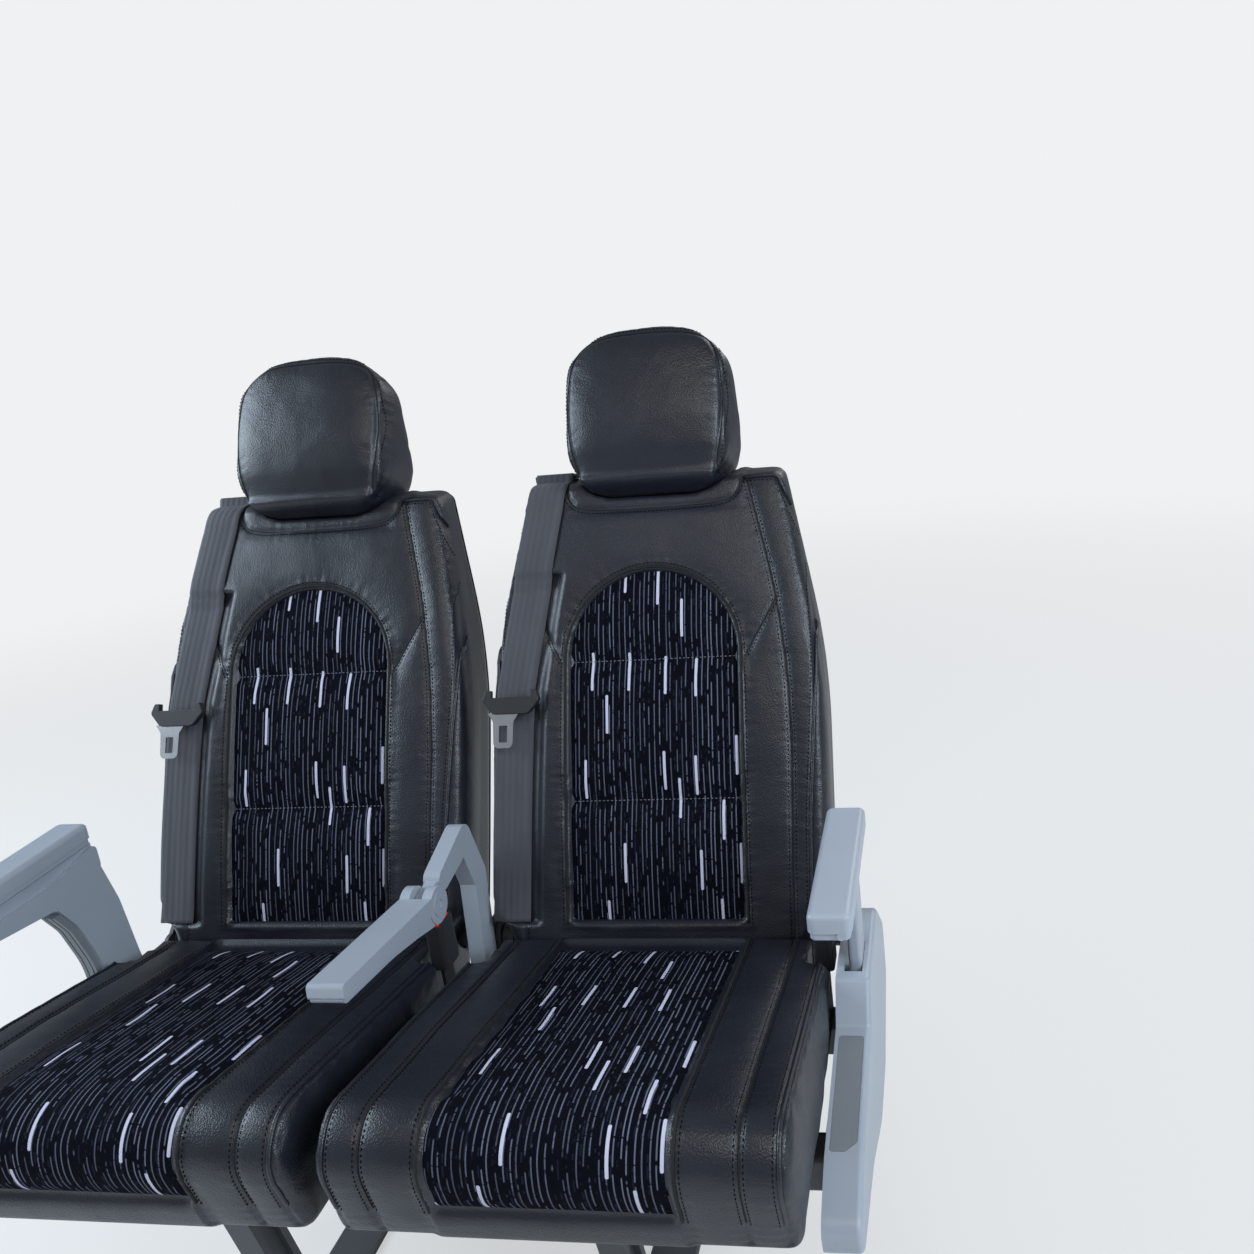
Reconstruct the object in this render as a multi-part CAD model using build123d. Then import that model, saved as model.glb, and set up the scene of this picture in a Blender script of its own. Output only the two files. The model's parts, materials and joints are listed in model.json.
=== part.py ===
# Two-place reclining coach seat: window seat and aisle seat on one floor-standing frame.
# Millimetres. X runs from the window side to the aisle side, Y to the rear, Z up from the floor.
# The origin is the centre of the four floor bolts.
import os
from math import radians, sin, cos

from build123d import *

# Layout
cushion_width = 440.0
cushion_gap = 24.0          # between the two cushions
crease_y = 60.0             # where the top of the cushion meets the back
crease_z = 430.0
back_lean = 25.0            # of the back from upright, in degrees
moving_gap = 5.0            # between moving pieces
soft_gap = 0.3              # between a soft piece and its neighbour
cut_reach = 700.0           # of cutting forms, past the whole seat

# Recline
recline_angle = 20.0        # from upright to fully back, in degrees
lobe_r = 72.0               # round lower end of the back, about the recline pivot
lobe_drop = 10.0            # of the pivot's level below the crease, along the back
lobe_side_inset = 30.0      # of the lower end from the cushion's side
lobe_flare_r = 30.0
lever_length = 110.0
lever_side_inset = 13.0     # of the lever from the cushion's side
lever_thickness = 6.0
lever_rim = 7.0             # of the lever round its eye pin
hinge_tube_r = 15.0
hinge_pin_r = 8.0
pin_fit = 0.05              # radial running clearance

# Back
back_side_inset = 5.0       # of the back from the cushion's side
back_top = 565.0            # from the crease to the front top edge, along the back
back_top_half = 172.0
back_shoulder = 330.0       # where the sides draw in
back_shoulder_r = 900.0
back_top_depth = 72.0
back_depth = 97.0
crown_rise = 13.0           # of the bowed front
crown_place = 0.42          # of the crown up the back, as a share of its height
rear_bow = 5.0
rear_bow_r = 500.0
edge_radius = 20.0
bolster_radius = 18.0
insert_width = 223.0
insert_top = 449.0
insert_foot = 12.0
insert_depth = 10.0         # of the recess that holds the insert
insert_sunk = 4.0           # front of the insert below the bolsters
shell_thickness = 6.0
shell_bottom = 30.0

# Headrest
head_foot_half = 106.0
head_crown_half = 99.0
head_bottom = 545.0
head_top = 765.0
head_forward = 40.0
head_corner_r = 54.0
head_slot_gap = 3.0
head_edge_r = 12.0
head_profile_r = 12.0

# Cushion
cushion_front = 415.0       # from the crease to the front bend
cushion_rise = 72.0         # of the front bend above the crease
cushion_bottom_z = 360.0
cushion_face = 44.0         # of the bend below the top's end
cushion_tuck = 26.0         # of the front's foot, to the rear
cushion_roll = 32.0         # from the bend back to the top's end
cushion_bend_r = 44.0
cushion_foot_r = 24.0
cushion_notch_y = -14.0
cushion_edge_r = 14.0
seat_insert_width = 230.0
seat_insert_rear = 14.0     # from the crease
seat_insert_low = 40.0      # of its front edge above the cushion's underside
seat_insert_depth = 8.0
seat_insert_sunk = 1.5

# Frame
pan_thickness = 14.0
pan_inset = 22.0
pan_front = 60.0            # from the front bend to the pan
pan_corner_r = 18.0
tube_size = 40.0
tube_wall = 3.0
tube_corner_r = 5.0
front_tube_y = -180.0
rear_tube_y = 20.0
plate_thickness = 5.0
centre_plate_thickness = 8.0
plate_margin = 8.0          # of the side plates round the cross tubes
plate_reach = 30.0          # of the side plates past the cross tubes
plate_gap = 1.0             # between the cushion and the side plate
boss_r = 22.0
boss_depth = 6.0
leg_x = 215.0
leg_width = 30.0
leg_column = 42.0
leg_splay = 100.0           # from the middle to the columns' feet
leg_arch_r = 20.0
leg_pocket = 8.0            # depth of the recess in each side of a column
leg_rim = 9.0               # round that recess
foot_length = 390.0
foot_width = 60.0
foot_thickness = 8.0
foot_corner_r = 12.0
bolt_y = 165.0
bolt_hole_r = 5.5
top_rail = 24.0

# Gas springs
cylinder_r = 11.0
cylinder_front_y = -130.0
cylinder_rear_y = 60.0
rod_r = 4.0
eye_r = 10.0
eye_half = 5.0              # half the eye's width
eye_side_gap = 2.0          # between the eye and the lever
eye_pin_r = 4.0
eye_play = 1.1              # the eye's open pivot drifts by less than this
rod_inside = 80.0
stud_length = 20.0
stud_r = 5.0
tab_half = 15.0
tab_drop = 16.0

# Armrests
pad_width = 42.0
pad_thickness = 28.0
pad_cap = 19.0              # height of the upper part, above the parting line
pad_step = 2.0              # of the lower part inside the upper
pad_corner_r = 8.0
pad_edge_r = 6.0
pad_button_r = 4.0
pad_front_y = -195.0
pad_rear_y = 22.0
arm_drop = 120.0            # of the aisle armrest, from the height it is drawn at
pad_stop_gap = 27.0         # between the console and the dropped armrest
pad_shift = 1.0             # of the armrest from the console's middle
post_front_y = -18.0
post_depth = 46.0
post_inner = 6.0            # from the armrest's middle to the post's inner face
post_outer = 8.0
post_corner_r = 5.0
post_inside = 60.0
rail_thickness = 5.0
rail_front_y = -22.0
rail_depth = 26.0
rail_hole_r = 2.2
rail_pitch = 30.0
slot_play = 0.5
slot_front_play = 6.0
slot_wall = 3.0
centre_arm_length = 205.0
centre_arm_width = 38.0
centre_arm_rise = 7.0       # of the lowered arm above level, in degrees
arm_nose_height = 8.0       # of the arm's lower half at its tip
centre_pivot_y = -46.0
centre_pivot_z = 538.0
centre_hub_r = 21.0
hub_cap_r = 13.0
hub_cap_height = 1.0
arm_top = 14.0              # of the centre armrest above its pivot
arm_seam = 1.0              # of its parting line above the pivot
arm_step = 1.5              # of its lower half inside the upper
arm_pin_r = 6.0
tongue_bar_r = 10.0
tongue_bar_thickness = 14.0
fork_r = 15.5
fork_front = 16.0           # of the fork's slot ahead of the pivot
fork_rear = 34.0
fork_top = 40.0
support_thickness = 20.0
support_half = 17.0         # half its width in side view
support_top_y = 58.0
support_top_z = 564.0

# Window armrest
shell_half = 20.0
neck_half = 15.0
bracket_foot_z = 318.0
bracket_foot_y = 6.0
bracket_foot_width = 38.0
bracket_waist_z = 440.0
bracket_waist_y = -14.0
bracket_thickness = 26.0
bracket_edge_r = 3.0
trim_thickness = 8.0
trim_inset = 4.0
trim_groove = 1.6
trim_low = 34.0             # of the trim above the bracket's foot
trim_high = 56.0            # of its top below the pad

# Console
console_width = 38.0
console_top_z = 440.0
console_wall = 5.0
console_bottom_z = 245.0
console_step = 40.0         # from the slot's level down to the panel
console_fall = 66.0         # of the panel's front end below the slot's level
console_nose_drop = 26.0    # of the nose's front below the panel
console_nose_depth = 36.0
console_rear = 46.0         # of the console behind the recline pivot
console_rear_cut = 60.0     # off its rear corners
console_belly = 46.0        # of the underside's rise to the front
console_nose_y = -286.0
console_bend_y = -232.0
console_rim_r = 6.0
console_panel_width = 26.0
console_panel_thickness = 3.0
console_panel_margin = 12.0
console_panel_corner = 11.0 # cut off the panel's front outer corner
console_panel_shift = 1.5   # of the panel from the console's middle

# Magazine pocket
pocket_top = 330.0
pocket_bottom = 120.0
pocket_width = 216.0
pocket_depth = 28.0
pocket_curve = 20.0
pocket_bend_r = 16.0
rail_r = 3.0
rail_seat = 4.0             # of the rail's ends in the shell
net_thickness = 2.0
net_side_gap = 12.0

# Belt
belt_width = 50.0
belt_thickness = 2.0
belt_top_inset = 33.0       # of its middle from the back's side, at the top
belt_mid_inset = 35.0       # at the tongue
belt_low_inset = 26.0       # at the bottom
belt_low_s = 14.0
guide_depth = 16.0
guide_height = 7.0
guide_margin = 3.0
guide_setback = 30.0        # behind the front top edge
tongue_s = 300.0
grip_width = 76.0
grip_height = 30.0
grip_thickness = 8.0
grip_notch = 9.0            # cut for the webbing between the grip's ears
tongue_flare = 40.0         # width of the steel plate at the grip
tongue_width = 27.0
tongue_length = 44.0
tongue_neck = 11.0
tongue_slot_width = 11.0
tongue_slot_length = 21.0
tongue_metal = 2.5
tongue_shift = 10.0         # of the plate from the belt's middle
buckle_side_inset = 11.0    # of the buckle from the cushion's side
buckle_thickness = 22.0
buckle_width = 36.0
buckle_corner_r = 5.0
buckle_y = 18.0
buckle_top_z = 478.0
buckle_low_z = 420.0
stalk_thickness = 4.0
stalk_width = 24.0
buckle_slot_depth = 26.0
buckle_slot_half = 14.0
button_depth = 8.0
button_proud = 1.5

# Worked out from the values above
seat_pitch = cushion_width + cushion_gap
back_half_width = cushion_width / 2 - back_side_inset
lobe_half_width = cushion_width / 2 - lobe_side_inset
cushion_rear_half = lobe_half_width + 2
lever_inset = cushion_width / 2 - lever_side_inset
buckle_x = cushion_width / 2 - buckle_side_inset
lean = radians(back_lean)
up_back = (0, sin(lean), cos(lean))
out_of_back = (0, -cos(lean), sin(lean))
front_plane = Plane(origin=(0, crease_y, crease_z), x_dir=(1, 0, 0), z_dir=out_of_back)
side_plane = Plane(origin=(0, crease_y, crease_z), x_dir=up_back, z_dir=(1, 0, 0))
pivot_y = crease_y - lobe_drop * sin(lean) + lobe_r * cos(lean)
pivot_z = crease_z - lobe_drop * cos(lean) - lobe_r * sin(lean)
half_swing = radians(recline_angle / 2)
eye_y = pivot_y + lever_length * sin(half_swing)
eye_z = pivot_z - lever_length * cos(half_swing)
rod_z = pivot_z - lever_length * (1 + cos(half_swing)) / 2
tube_z = cushion_bottom_z - pan_thickness - tube_size / 2
plate_x = seat_pitch / 2 + cushion_width / 2 + plate_gap
console_x = plate_x + plate_thickness
pad_x = console_x + console_width / 2 + pad_shift
pad_low_z = console_top_z + pad_stop_gap + arm_drop
pad_top_z = pad_low_z + pad_thickness
guide_front_y = crease_y + back_top * sin(lean) + guide_setback
shoulder_z = crease_z + back_top * cos(lean)
belt_places = [             # up the back, across the seat
    (0, belt_low_inset - back_half_width),
    (tongue_s, belt_mid_inset - back_half_width),
    (back_top, belt_top_inset - back_top_half),
]
seats = {"window": -seat_pitch / 2, "aisle": seat_pitch / 2}


def at_x(shape, x):
    return Pos(x, 0, 0) * shape


def slab(face, half):
    """A face on a side plane, thickened evenly to both sides."""
    return extrude(face, amount=half, both=True)


def rounded(rows):
    """A closed outline. Each row is a corner: its two coordinates and its radius, 0 where it is sharp."""
    face = make_face(Polyline(*[(a, b) for a, b, r in rows], close=True))
    for a, b, r in rows:
        if r > 0:
            face = fillet(face.vertices().sort_by_distance(Vector(a, b))[0], r)
    return face


def side_face(rows):
    """A rounded outline in the side plane: each row is Y, Z and radius."""
    return Plane.YZ * rounded(rows)


def x_rod(radius, x0, x1, y, z):
    rod = Cylinder(radius, abs(x1 - x0), rotation=(0, 90, 0))
    return Pos((x0 + x1) / 2, y, z) * rod


def y_rod(radius, y0, y1, x, z):
    return Pos(x, (y0 + y1) / 2, z) * Cylinder(radius, y1 - y0, rotation=(90, 0, 0))


def block(x0, x1, y0, y1, z0, z1):
    return Pos((x0 + x1) / 2, (y0 + y1) / 2, (z0 + z1) / 2) * Box(x1 - x0, y1 - y0, z1 - z0)


def along_back(point):
    """How far a point lies up the back from the crease, and how far forward of it."""
    reach = point - Vector(0, crease_y, crease_z)
    return reach.dot(Vector(*up_back)), reach.dot(Vector(*out_of_back))


# Back

def rear_rows(inset=0.0):
    """The rear side of the back's profile, from the top down: up the back, forward, radius."""
    return [
        (back_top + back_top_depth * sin(lean), -back_top_depth * cos(lean) + inset, edge_radius),
        (back_top * 0.75, -back_depth + rear_bow + inset, rear_bow_r),
        (back_top * 0.2, -back_depth + inset, rear_bow_r),
    ]


def back_profile():
    """Side outline of the back: bowed front, level top, bowed rear and a round lower end."""
    rear_offset = back_depth - lobe_r
    lobe_low = lobe_drop + (lobe_r**2 - rear_offset**2) ** 0.5
    rows = [(back_top, 0, edge_radius)] + rear_rows()
    rows += [(-lobe_low, -back_depth, 0), (-lobe_drop, -back_depth, 0), (-lobe_drop, 0, 0)]
    points = [(s, n) for s, n, r in rows]
    bow = ThreePointArc((-lobe_drop, 0), (back_top * crown_place, crown_rise), (back_top, 0))
    face = make_face(Curve() + [bow] + [Line(a, b) for a, b in zip(points, points[1:])])
    for s, n, r in rows:
        if r > 0:
            face = fillet(face.vertices().sort_by_distance(Vector(s, n))[0], r)
    lobe = Pos(-lobe_drop, -lobe_r) * Circle(lobe_r)
    band = Pos(-lobe_drop, -back_depth / 2) * Rectangle(4 * lobe_r, back_depth)
    return face + (lobe & band)


def back_outline():
    """Front outline of the back: upright sides that draw in to narrow shoulders."""
    draw_in = (back_half_width - back_top_half) / (back_top - back_shoulder)
    past_top = back_top + back_top_depth
    past_half = back_half_width - draw_in * (past_top - back_shoulder)
    right = [
        (lobe_half_width, -2 * lobe_r, 0), (lobe_half_width, 0, lobe_flare_r),
        (back_half_width, back_half_width - lobe_half_width, lobe_flare_r),
        (back_half_width, back_shoulder, back_shoulder_r), (past_half, past_top, 0),
    ]
    return rounded(right + [(-x, s, r) for x, s, r in reversed(right)])


def arch(width, bottom, top):
    """A panel with straight sides and a half-round top."""
    r = width / 2
    return make_face(Curve() + [
        Line((-r, top - r), (-r, bottom)),
        Line((-r, bottom), (r, bottom)),
        Line((r, bottom), (r, top - r)),
        ThreePointArc((r, top - r), (0, top), (-r, top - r)),
    ])


def front_prism(face):
    return extrude(front_plane * face, amount=cut_reach / 2, both=True)


def head_outline(grow=0.0):
    """Front outline of the headrest: a little narrower at the top, with large corners."""
    r = head_corner_r + grow
    right = [(head_foot_half + grow, head_bottom, r), (head_crown_half + grow, head_top, r)]
    return rounded(right + [(-x, s, r) for x, s, r in reversed(right)])


def bolster_edges(form):
    """The long edges down both sides of the back's front face."""
    chosen = []
    for edge in form.edges():
        ends = [along_back(edge @ 0), along_back(edge @ 1)]
        on_front = all(s > -lobe_r and n > -edge_radius - 1 for s, n in ends) and along_back(edge @ 0.5)[1] > -6
        beside = abs((edge @ 0.5).X) > insert_width / 2
        lengthwise = abs((edge @ 0).X - (edge @ 1).X) < back_top_half / 2
        if on_front and beside and lengthwise:
            chosen.append(edge)
    return chosen


def make_back():
    """The back as one form, then parted into upholstery, insert and rear shell."""
    profile = back_profile()
    form = slab(side_plane * profile, cut_reach) & front_prism(back_outline())
    form = fillet(bolster_edges(form), bolster_radius)
    form -= front_prism(head_outline(head_slot_gap))
    past_top = back_top + 2 * back_top_depth
    skin = [(shell_bottom, -3 * back_depth, 0), (past_top, -3 * back_depth, 0),
            (past_top, -back_top_depth * 0.6, 0)]
    skin += [(s, n, r if s < back_top else 0) for s, n, r in rear_rows(shell_thickness)]
    skin += [(shell_bottom, -back_depth + shell_thickness, 0)]
    skin_zone = slab(side_plane * rounded(skin), cut_reach)
    shell = form & skin_zone
    cushion = form - skin_zone
    sunk = slab(side_plane * offset(profile, -insert_sunk), cut_reach)
    core = slab(side_plane * offset(profile, -insert_depth), cut_reach)
    insert_zone = front_prism(arch(insert_width, insert_foot, insert_top))
    recess_zone = front_prism(arch(insert_width + 2 * soft_gap, insert_foot - soft_gap, insert_top + soft_gap))
    front_half = slab(side_plane * (Pos(back_top / 2, 0) * Rectangle(2 * back_top, back_depth)), cut_reach)
    insert = (sunk - core) & insert_zone & front_half
    cushion -= (recess_zone & front_half) - core
    return cushion, insert, shell, profile


def make_headrest():
    """Wedge in side view, deep low down and thin at the top, with a rounded front panel."""
    height = head_top - head_bottom
    wedge = [               # up the back, forward
        (head_bottom, 2), (head_bottom + height * 0.1, head_forward),
        (head_top - height * 0.064, head_forward * 0.85), (head_top, head_forward * 0.4),
        (head_top - height * 0.018, -head_forward * 0.3),
        (head_bottom + height * 0.32, -back_top_depth + 2), (head_bottom, -back_top_depth + 10),
    ]
    face = make_face(Polyline(*wedge, close=True))
    soft = [v for v in face.vertices() if v.X > head_bottom + 1]
    face = fillet(soft, head_profile_r)
    form = slab(side_plane * face, 2 * head_foot_half) & front_prism(head_outline())
    rims = [edge for edge in form.edges() if along_back(edge.center())[0] > head_bottom + 2]
    return fillet(rims, head_edge_r)


def spring_x(xc):
    """Where a seat's gas spring lies: beside the lever."""
    return xc - lever_inset + lever_thickness / 2 + eye_side_gap + eye_half


def make_hinge(xc, x0, x1):
    """Torsion tube on two pins, with the gas spring's lever and its eye pin."""
    tube = x_rod(hinge_tube_r, x0 + 1, x1 - 1, pivot_y, pivot_z)
    pins = x_rod(hinge_pin_r, x0 - boss_depth, x1 + boss_depth, pivot_y, pivot_z)
    lever_x = xc - lever_inset
    low = Pos(eye_y, eye_z) * Circle(eye_pin_r + lever_rim)
    high = Pos(pivot_y, pivot_z) * Circle(hinge_tube_r + lever_rim)
    arm = make_hull(low.edges() + high.edges())
    lever = slab(Plane.YZ * arm, lever_thickness / 2)
    pin = x_rod(eye_pin_r, lever_x, spring_x(xc) + eye_half + 1, eye_y, eye_z)
    return tube + pins + at_x(lever, lever_x) + pin


def make_rod(xc):
    """Gas spring rod with its eye round the lever's pin."""
    x = spring_x(xc)
    eye = x_rod(eye_r, x - eye_half, x + eye_half, eye_y, rod_z)
    rear_end = eye_y - (eye_r + eye_pin_r + eye_play) / 2
    rod = y_rod(rod_r, cylinder_rear_y - rod_inside, rear_end, x, rod_z)
    return eye + rod - x_rod(eye_pin_r + eye_play, x - 2 * eye_half, x + 2 * eye_half, eye_y, rod_z)


def make_cylinder(xc):
    """Gas spring body: bored for the rod at the rear, on a stud at the front."""
    x = spring_x(xc)
    body = y_rod(cylinder_r, cylinder_front_y, cylinder_rear_y, x, rod_z)
    body = chamfer(body.edges(), 2)
    stud = y_rod(stud_r, cylinder_front_y - stud_length, cylinder_front_y + 2, x, rod_z)
    travel = 2 * lever_length * sin(half_swing)
    bore = y_rod(rod_r + pin_fit, cylinder_rear_y - rod_inside - travel - 10, cylinder_rear_y + 2, x, rod_z)
    return body + stud - bore


# Belt

def belt_x(s):
    """Middle of the belt across the seat, at a height up the back."""
    lower, upper = belt_places[:2] if s < tongue_s else belt_places[1:]
    return lower[1] + (upper[1] - lower[1]) * (s - lower[0]) / (upper[0] - lower[0])


def make_belt(profile):
    """Webbing down the bolster: it leans out a little more above the tongue than below it."""
    stations = (belt_low_s, tongue_s, back_top + back_top_depth)
    half = belt_width / 2
    left = [(belt_x(s) - half, s) for s in stations]
    right = [(belt_x(s) + half, s) for s in reversed(stations)]
    outer = offset(profile, soft_gap + belt_thickness)
    inner = offset(profile, soft_gap)
    ring = slab(side_plane * outer, cut_reach) - slab(side_plane * inner, cut_reach)
    strip = front_prism(make_face(Polyline(*left, *right, close=True)))
    front = slab(side_plane * (Pos(back_top / 2, 0) * Rectangle(back_top * 1.35, 2 * edge_radius)), cut_reach)
    over = block(-cut_reach, cut_reach, crease_y, guide_front_y, shoulder_z - edge_radius, shoulder_z + 50)
    ahead = block(-cut_reach, cut_reach, -cut_reach, guide_front_y, 0, 3 * cut_reach)
    return ring & strip & (front + over) & ahead


def make_belt_guide():
    """Bezel on the level top of the shoulder, where the belt goes down into the back."""
    x = belt_x(back_top)
    y = guide_front_y + soft_gap + guide_depth / 2
    z = shoulder_z + guide_height / 2
    frame = Pos(x, y, z) * Box(belt_width + 2 * guide_margin, guide_depth, guide_height)
    frame = fillet(frame.edges().filter_by(Axis.Z), 2.5)
    slot = Pos(x, y - guide_margin, z) * Box(belt_width + 1, belt_thickness + 3, guide_height + 2)
    return frame - slot


def front_height(profile, s):
    """How far forward the back's surface stands at a height up the back."""
    strip = profile & (Pos(s, 0) * Rectangle(0.5, 4 * back_depth))
    return strip.bounding_box().max.Y


def resting_plane(profile, s):
    """A plane that lies on the back's front surface at a height, tilted as the surface is."""
    step = 10.0
    slope = (front_height(profile, s + step) - front_height(profile, s - step)) / (2 * step)
    point = side_plane.from_local_coords(Vector(s, front_height(profile, s), 0))
    tilted = side_plane.from_local_coords(Vector(s - slope, front_height(profile, s) + 1, 0)) - point
    return Plane(origin=point, x_dir=(1, 0, 0), z_dir=tilted)


def make_tongue(profile):
    """Shield-shaped grip with two ears beside the belt, and the flared steel plate below it."""
    lift = 2 * soft_gap + belt_thickness
    plane = resting_plane(profile, tongue_s - grip_height)
    half, notch = grip_width / 2, belt_width / 2 + 1
    right = [               # across, up, radius
        (half * 0.62, 0, 9), (half, grip_height * 0.58, 6), (half * 0.86, grip_height, 3),
        (notch, grip_height, 1.5), (notch, grip_height - grip_notch, 1.5),
    ]
    grip = extrude(rounded(right + [(-x, s, r) for x, s, r in reversed(right)]), amount=grip_thickness)
    grip = fillet(grip.edges().group_by(Axis.Z)[-1], 1.2)
    x = belt_x(tongue_s)
    flare, w, low = tongue_flare / 2, tongue_width / 2, -tongue_length
    side = [                # across, up, radius
        (flare, 0, 0), (flare, -1, 0), (w, -tongue_neck, 6), (w - 1, low, 7),
    ]
    blank = rounded(side + [(-a, b, r) for a, b, r in reversed(side)])
    slot = Pos(0, low + tongue_slot_length / 2 + 7) * Rectangle(tongue_slot_width, tongue_slot_length)
    plate = extrude(blank - fillet(slot.vertices(), 1.5), amount=tongue_metal)
    grip = plane * (Pos(x, 0, lift) * grip)
    return grip, plane * (Pos(x - tongue_shift, 2, lift + grip_thickness / 3) * plate) - grip


def make_buckle(xc):
    """Buckle on its stalk beside the cushion, open on top, with the release button beside the slot."""
    x = xc + buckle_x
    half = buckle_thickness / 2
    body = block(x - half, x + half, buckle_y - buckle_width / 2, buckle_y + buckle_width / 2,
                 buckle_low_z, buckle_top_z)
    body = fillet(body.edges().filter_by(Axis.Z), buckle_corner_r)
    stalk = block(x - stalk_thickness / 2, x + stalk_thickness / 2, buckle_y - stalk_width / 2,
                  buckle_y + stalk_width / 2, cushion_bottom_z - pan_thickness, buckle_low_z)
    y0, y1 = buckle_y - buckle_slot_half, buckle_y + buckle_slot_half
    slot = block(x - half + 3, x - half + 8, y0, y1, buckle_top_z - buckle_slot_depth, buckle_top_z + 1)
    x0, x1, z0 = x - half + 10, x + half - 4, buckle_top_z - button_depth
    button = block(x0, x1, y0, y1, z0, buckle_top_z + button_proud)
    pocket = block(x0 - soft_gap, x1 + soft_gap, y0 - soft_gap, y1 + soft_gap, z0 - soft_gap, buckle_top_z + 1)
    return body + stalk - slot - pocket, fillet(button.edges().group_by(Axis.Z)[-1], 1)


# Magazine pocket

def make_magazine(form):
    """Bent rail on the rear shell and the net sheet that hangs from it."""
    half = pocket_width / 2
    rail_n = -back_depth - pocket_depth
    seat = back_depth - rail_seat
    origin = Vector(0, crease_y, crease_z) + Vector(*up_back) * pocket_top
    plane = Plane(origin=origin, x_dir=(1, 0, 0), z_dir=up_back)
    corners = [(-half, seat), (-half + rail_seat * 2, -rail_n), (half - rail_seat * 2, -rail_n), (half, seat)]
    path = plane * FilletPolyline(*corners, radius=pocket_bend_r)
    rail = sweep(Plane(origin=path @ 0, z_dir=path % 0) * Circle(rail_r), path=path) - form
    t = net_thickness
    top = pocket_top - rail_r - soft_gap
    sheet = [               # up the back, forward, radius
        (top, rail_n, 0), (top, rail_n - t, 0), (pocket_bottom + pocket_curve, rail_n - t + 8, 0),
        (pocket_bottom, -back_depth + 3, 0), (pocket_bottom + 3, -back_depth + 3, 0),
        (pocket_bottom + pocket_curve + t, rail_n + 8, 0),
    ]
    net = slab(side_plane * rounded(sheet), half - net_side_gap) - form
    return rail, net


# Seat cushion

def cushion_profile():
    """Side outline of the cushion: it dips at the crease and rises to a soft front bend."""
    front_y = crease_y - cushion_front
    front_z = crease_z + cushion_rise
    bend_y = front_y + cushion_roll
    outline = [
        Line((front_y + cushion_tuck, cushion_bottom_z), (crease_y, cushion_bottom_z)),
        Line((crease_y, cushion_bottom_z), (crease_y, crease_z)),
        ThreePointArc((crease_y, crease_z), (crease_y - cushion_front * 0.55, crease_z + cushion_rise * 0.62),
                      (bend_y, front_z)),
        Line((bend_y, front_z), (front_y, front_z - cushion_face)),
        Line((front_y, front_z - cushion_face), (front_y + cushion_tuck, cushion_bottom_z)),
    ]
    face = make_face(Curve() + outline)
    bend = [v for v in face.vertices() if v.Y > front_z - cushion_face - 1 and v.X < bend_y + 1]
    face = fillet(bend, cushion_bend_r)
    foot = [v for v in face.vertices() if v.Y < cushion_bottom_z + 1 and v.X < 0]
    return fillet(foot, cushion_foot_r)


def make_cushion():
    """Cushion, notched beside the buckles and cut clear of the back's round end, and its fabric insert."""
    profile = cushion_profile()
    half = cushion_width / 2
    form = slab(Plane.YZ * profile, half)
    long_edges = [e for e in form.edges() if abs(abs(e.center().X) - half) < 1
                  and e.center().Z > cushion_bottom_z + 2 and e.center().Y < crease_y - 2]
    form = fillet(long_edges, cushion_edge_r)
    for side in (-1, 1):
        a, b = sorted((side * cushion_rear_half, side * (half + 1)))
        form -= block(a, b, cushion_notch_y, crease_y + 5, cushion_bottom_z - 1, cut_reach)
    form -= x_rod(lobe_r + moving_gap, -cut_reach, cut_reach, pivot_y, pivot_z)
    sunk = slab(Plane.YZ * offset(profile, -seat_insert_sunk), half)
    core = slab(Plane.YZ * offset(profile, -seat_insert_depth), half)
    half_insert = seat_insert_width / 2
    rear, low = crease_y - seat_insert_rear, cushion_bottom_z + seat_insert_low
    band = block(-half_insert, half_insert, -cut_reach, rear, low, cut_reach)
    room = block(-half_insert - soft_gap, half_insert + soft_gap, -cut_reach, rear + soft_gap,
                 low - soft_gap, cut_reach)
    return form - (room - core), (sunk - core) & band


# Frame

def make_pan():
    half = cushion_width / 2 - pan_inset
    front = crease_y - cushion_front + pan_front
    rear = cushion_notch_y + tube_size
    pan = block(-half, half, front, rear, cushion_bottom_z - pan_thickness, cushion_bottom_z)
    return fillet(pan.edges().filter_by(Axis.Z), pan_corner_r)


def make_tube(y):
    h = tube_size / 2
    outer = block(-plate_x, plate_x, y - h, y + h, tube_z - h, tube_z + h)
    outer = fillet(outer.edges().filter_by(Axis.X), tube_corner_r)
    inner = tube_size - 2 * tube_wall
    return outer - Pos(0, y, tube_z) * Box(2 * plate_x + 2, inner, inner)


def make_front_tube():
    """Front cross tube with the two tabs that hold the gas springs."""
    tube = make_tube(front_tube_y)
    rear_face = front_tube_y + tube_size / 2
    for xc in seats.values():
        x = spring_x(xc)
        tube += block(x - tab_half, x + tab_half, rear_face, cylinder_front_y - stud_length,
                      rod_z - tab_drop, tube_z)
    return tube


def plate_outline():
    """Side plate: along both cross tubes and up to the recline pivot."""
    low = tube_z - tube_size / 2 - plate_margin
    high = tube_z + tube_size / 2 + plate_margin
    body = side_face([
        (front_tube_y - plate_reach, low, 12), (rear_tube_y + plate_reach + 10, low, 30),
        (pivot_y + 24, pivot_z - 8, 8), (pivot_y + 10, pivot_z + 20, 8), (pivot_y - 30, pivot_z + 16, 12),
        (rear_tube_y + 10, high + 4, 30), (front_tube_y - plate_reach, high, 12),
    ])
    return body + Plane.YZ * (Pos(pivot_y, pivot_z) * Circle(boss_r + 6))


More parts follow.
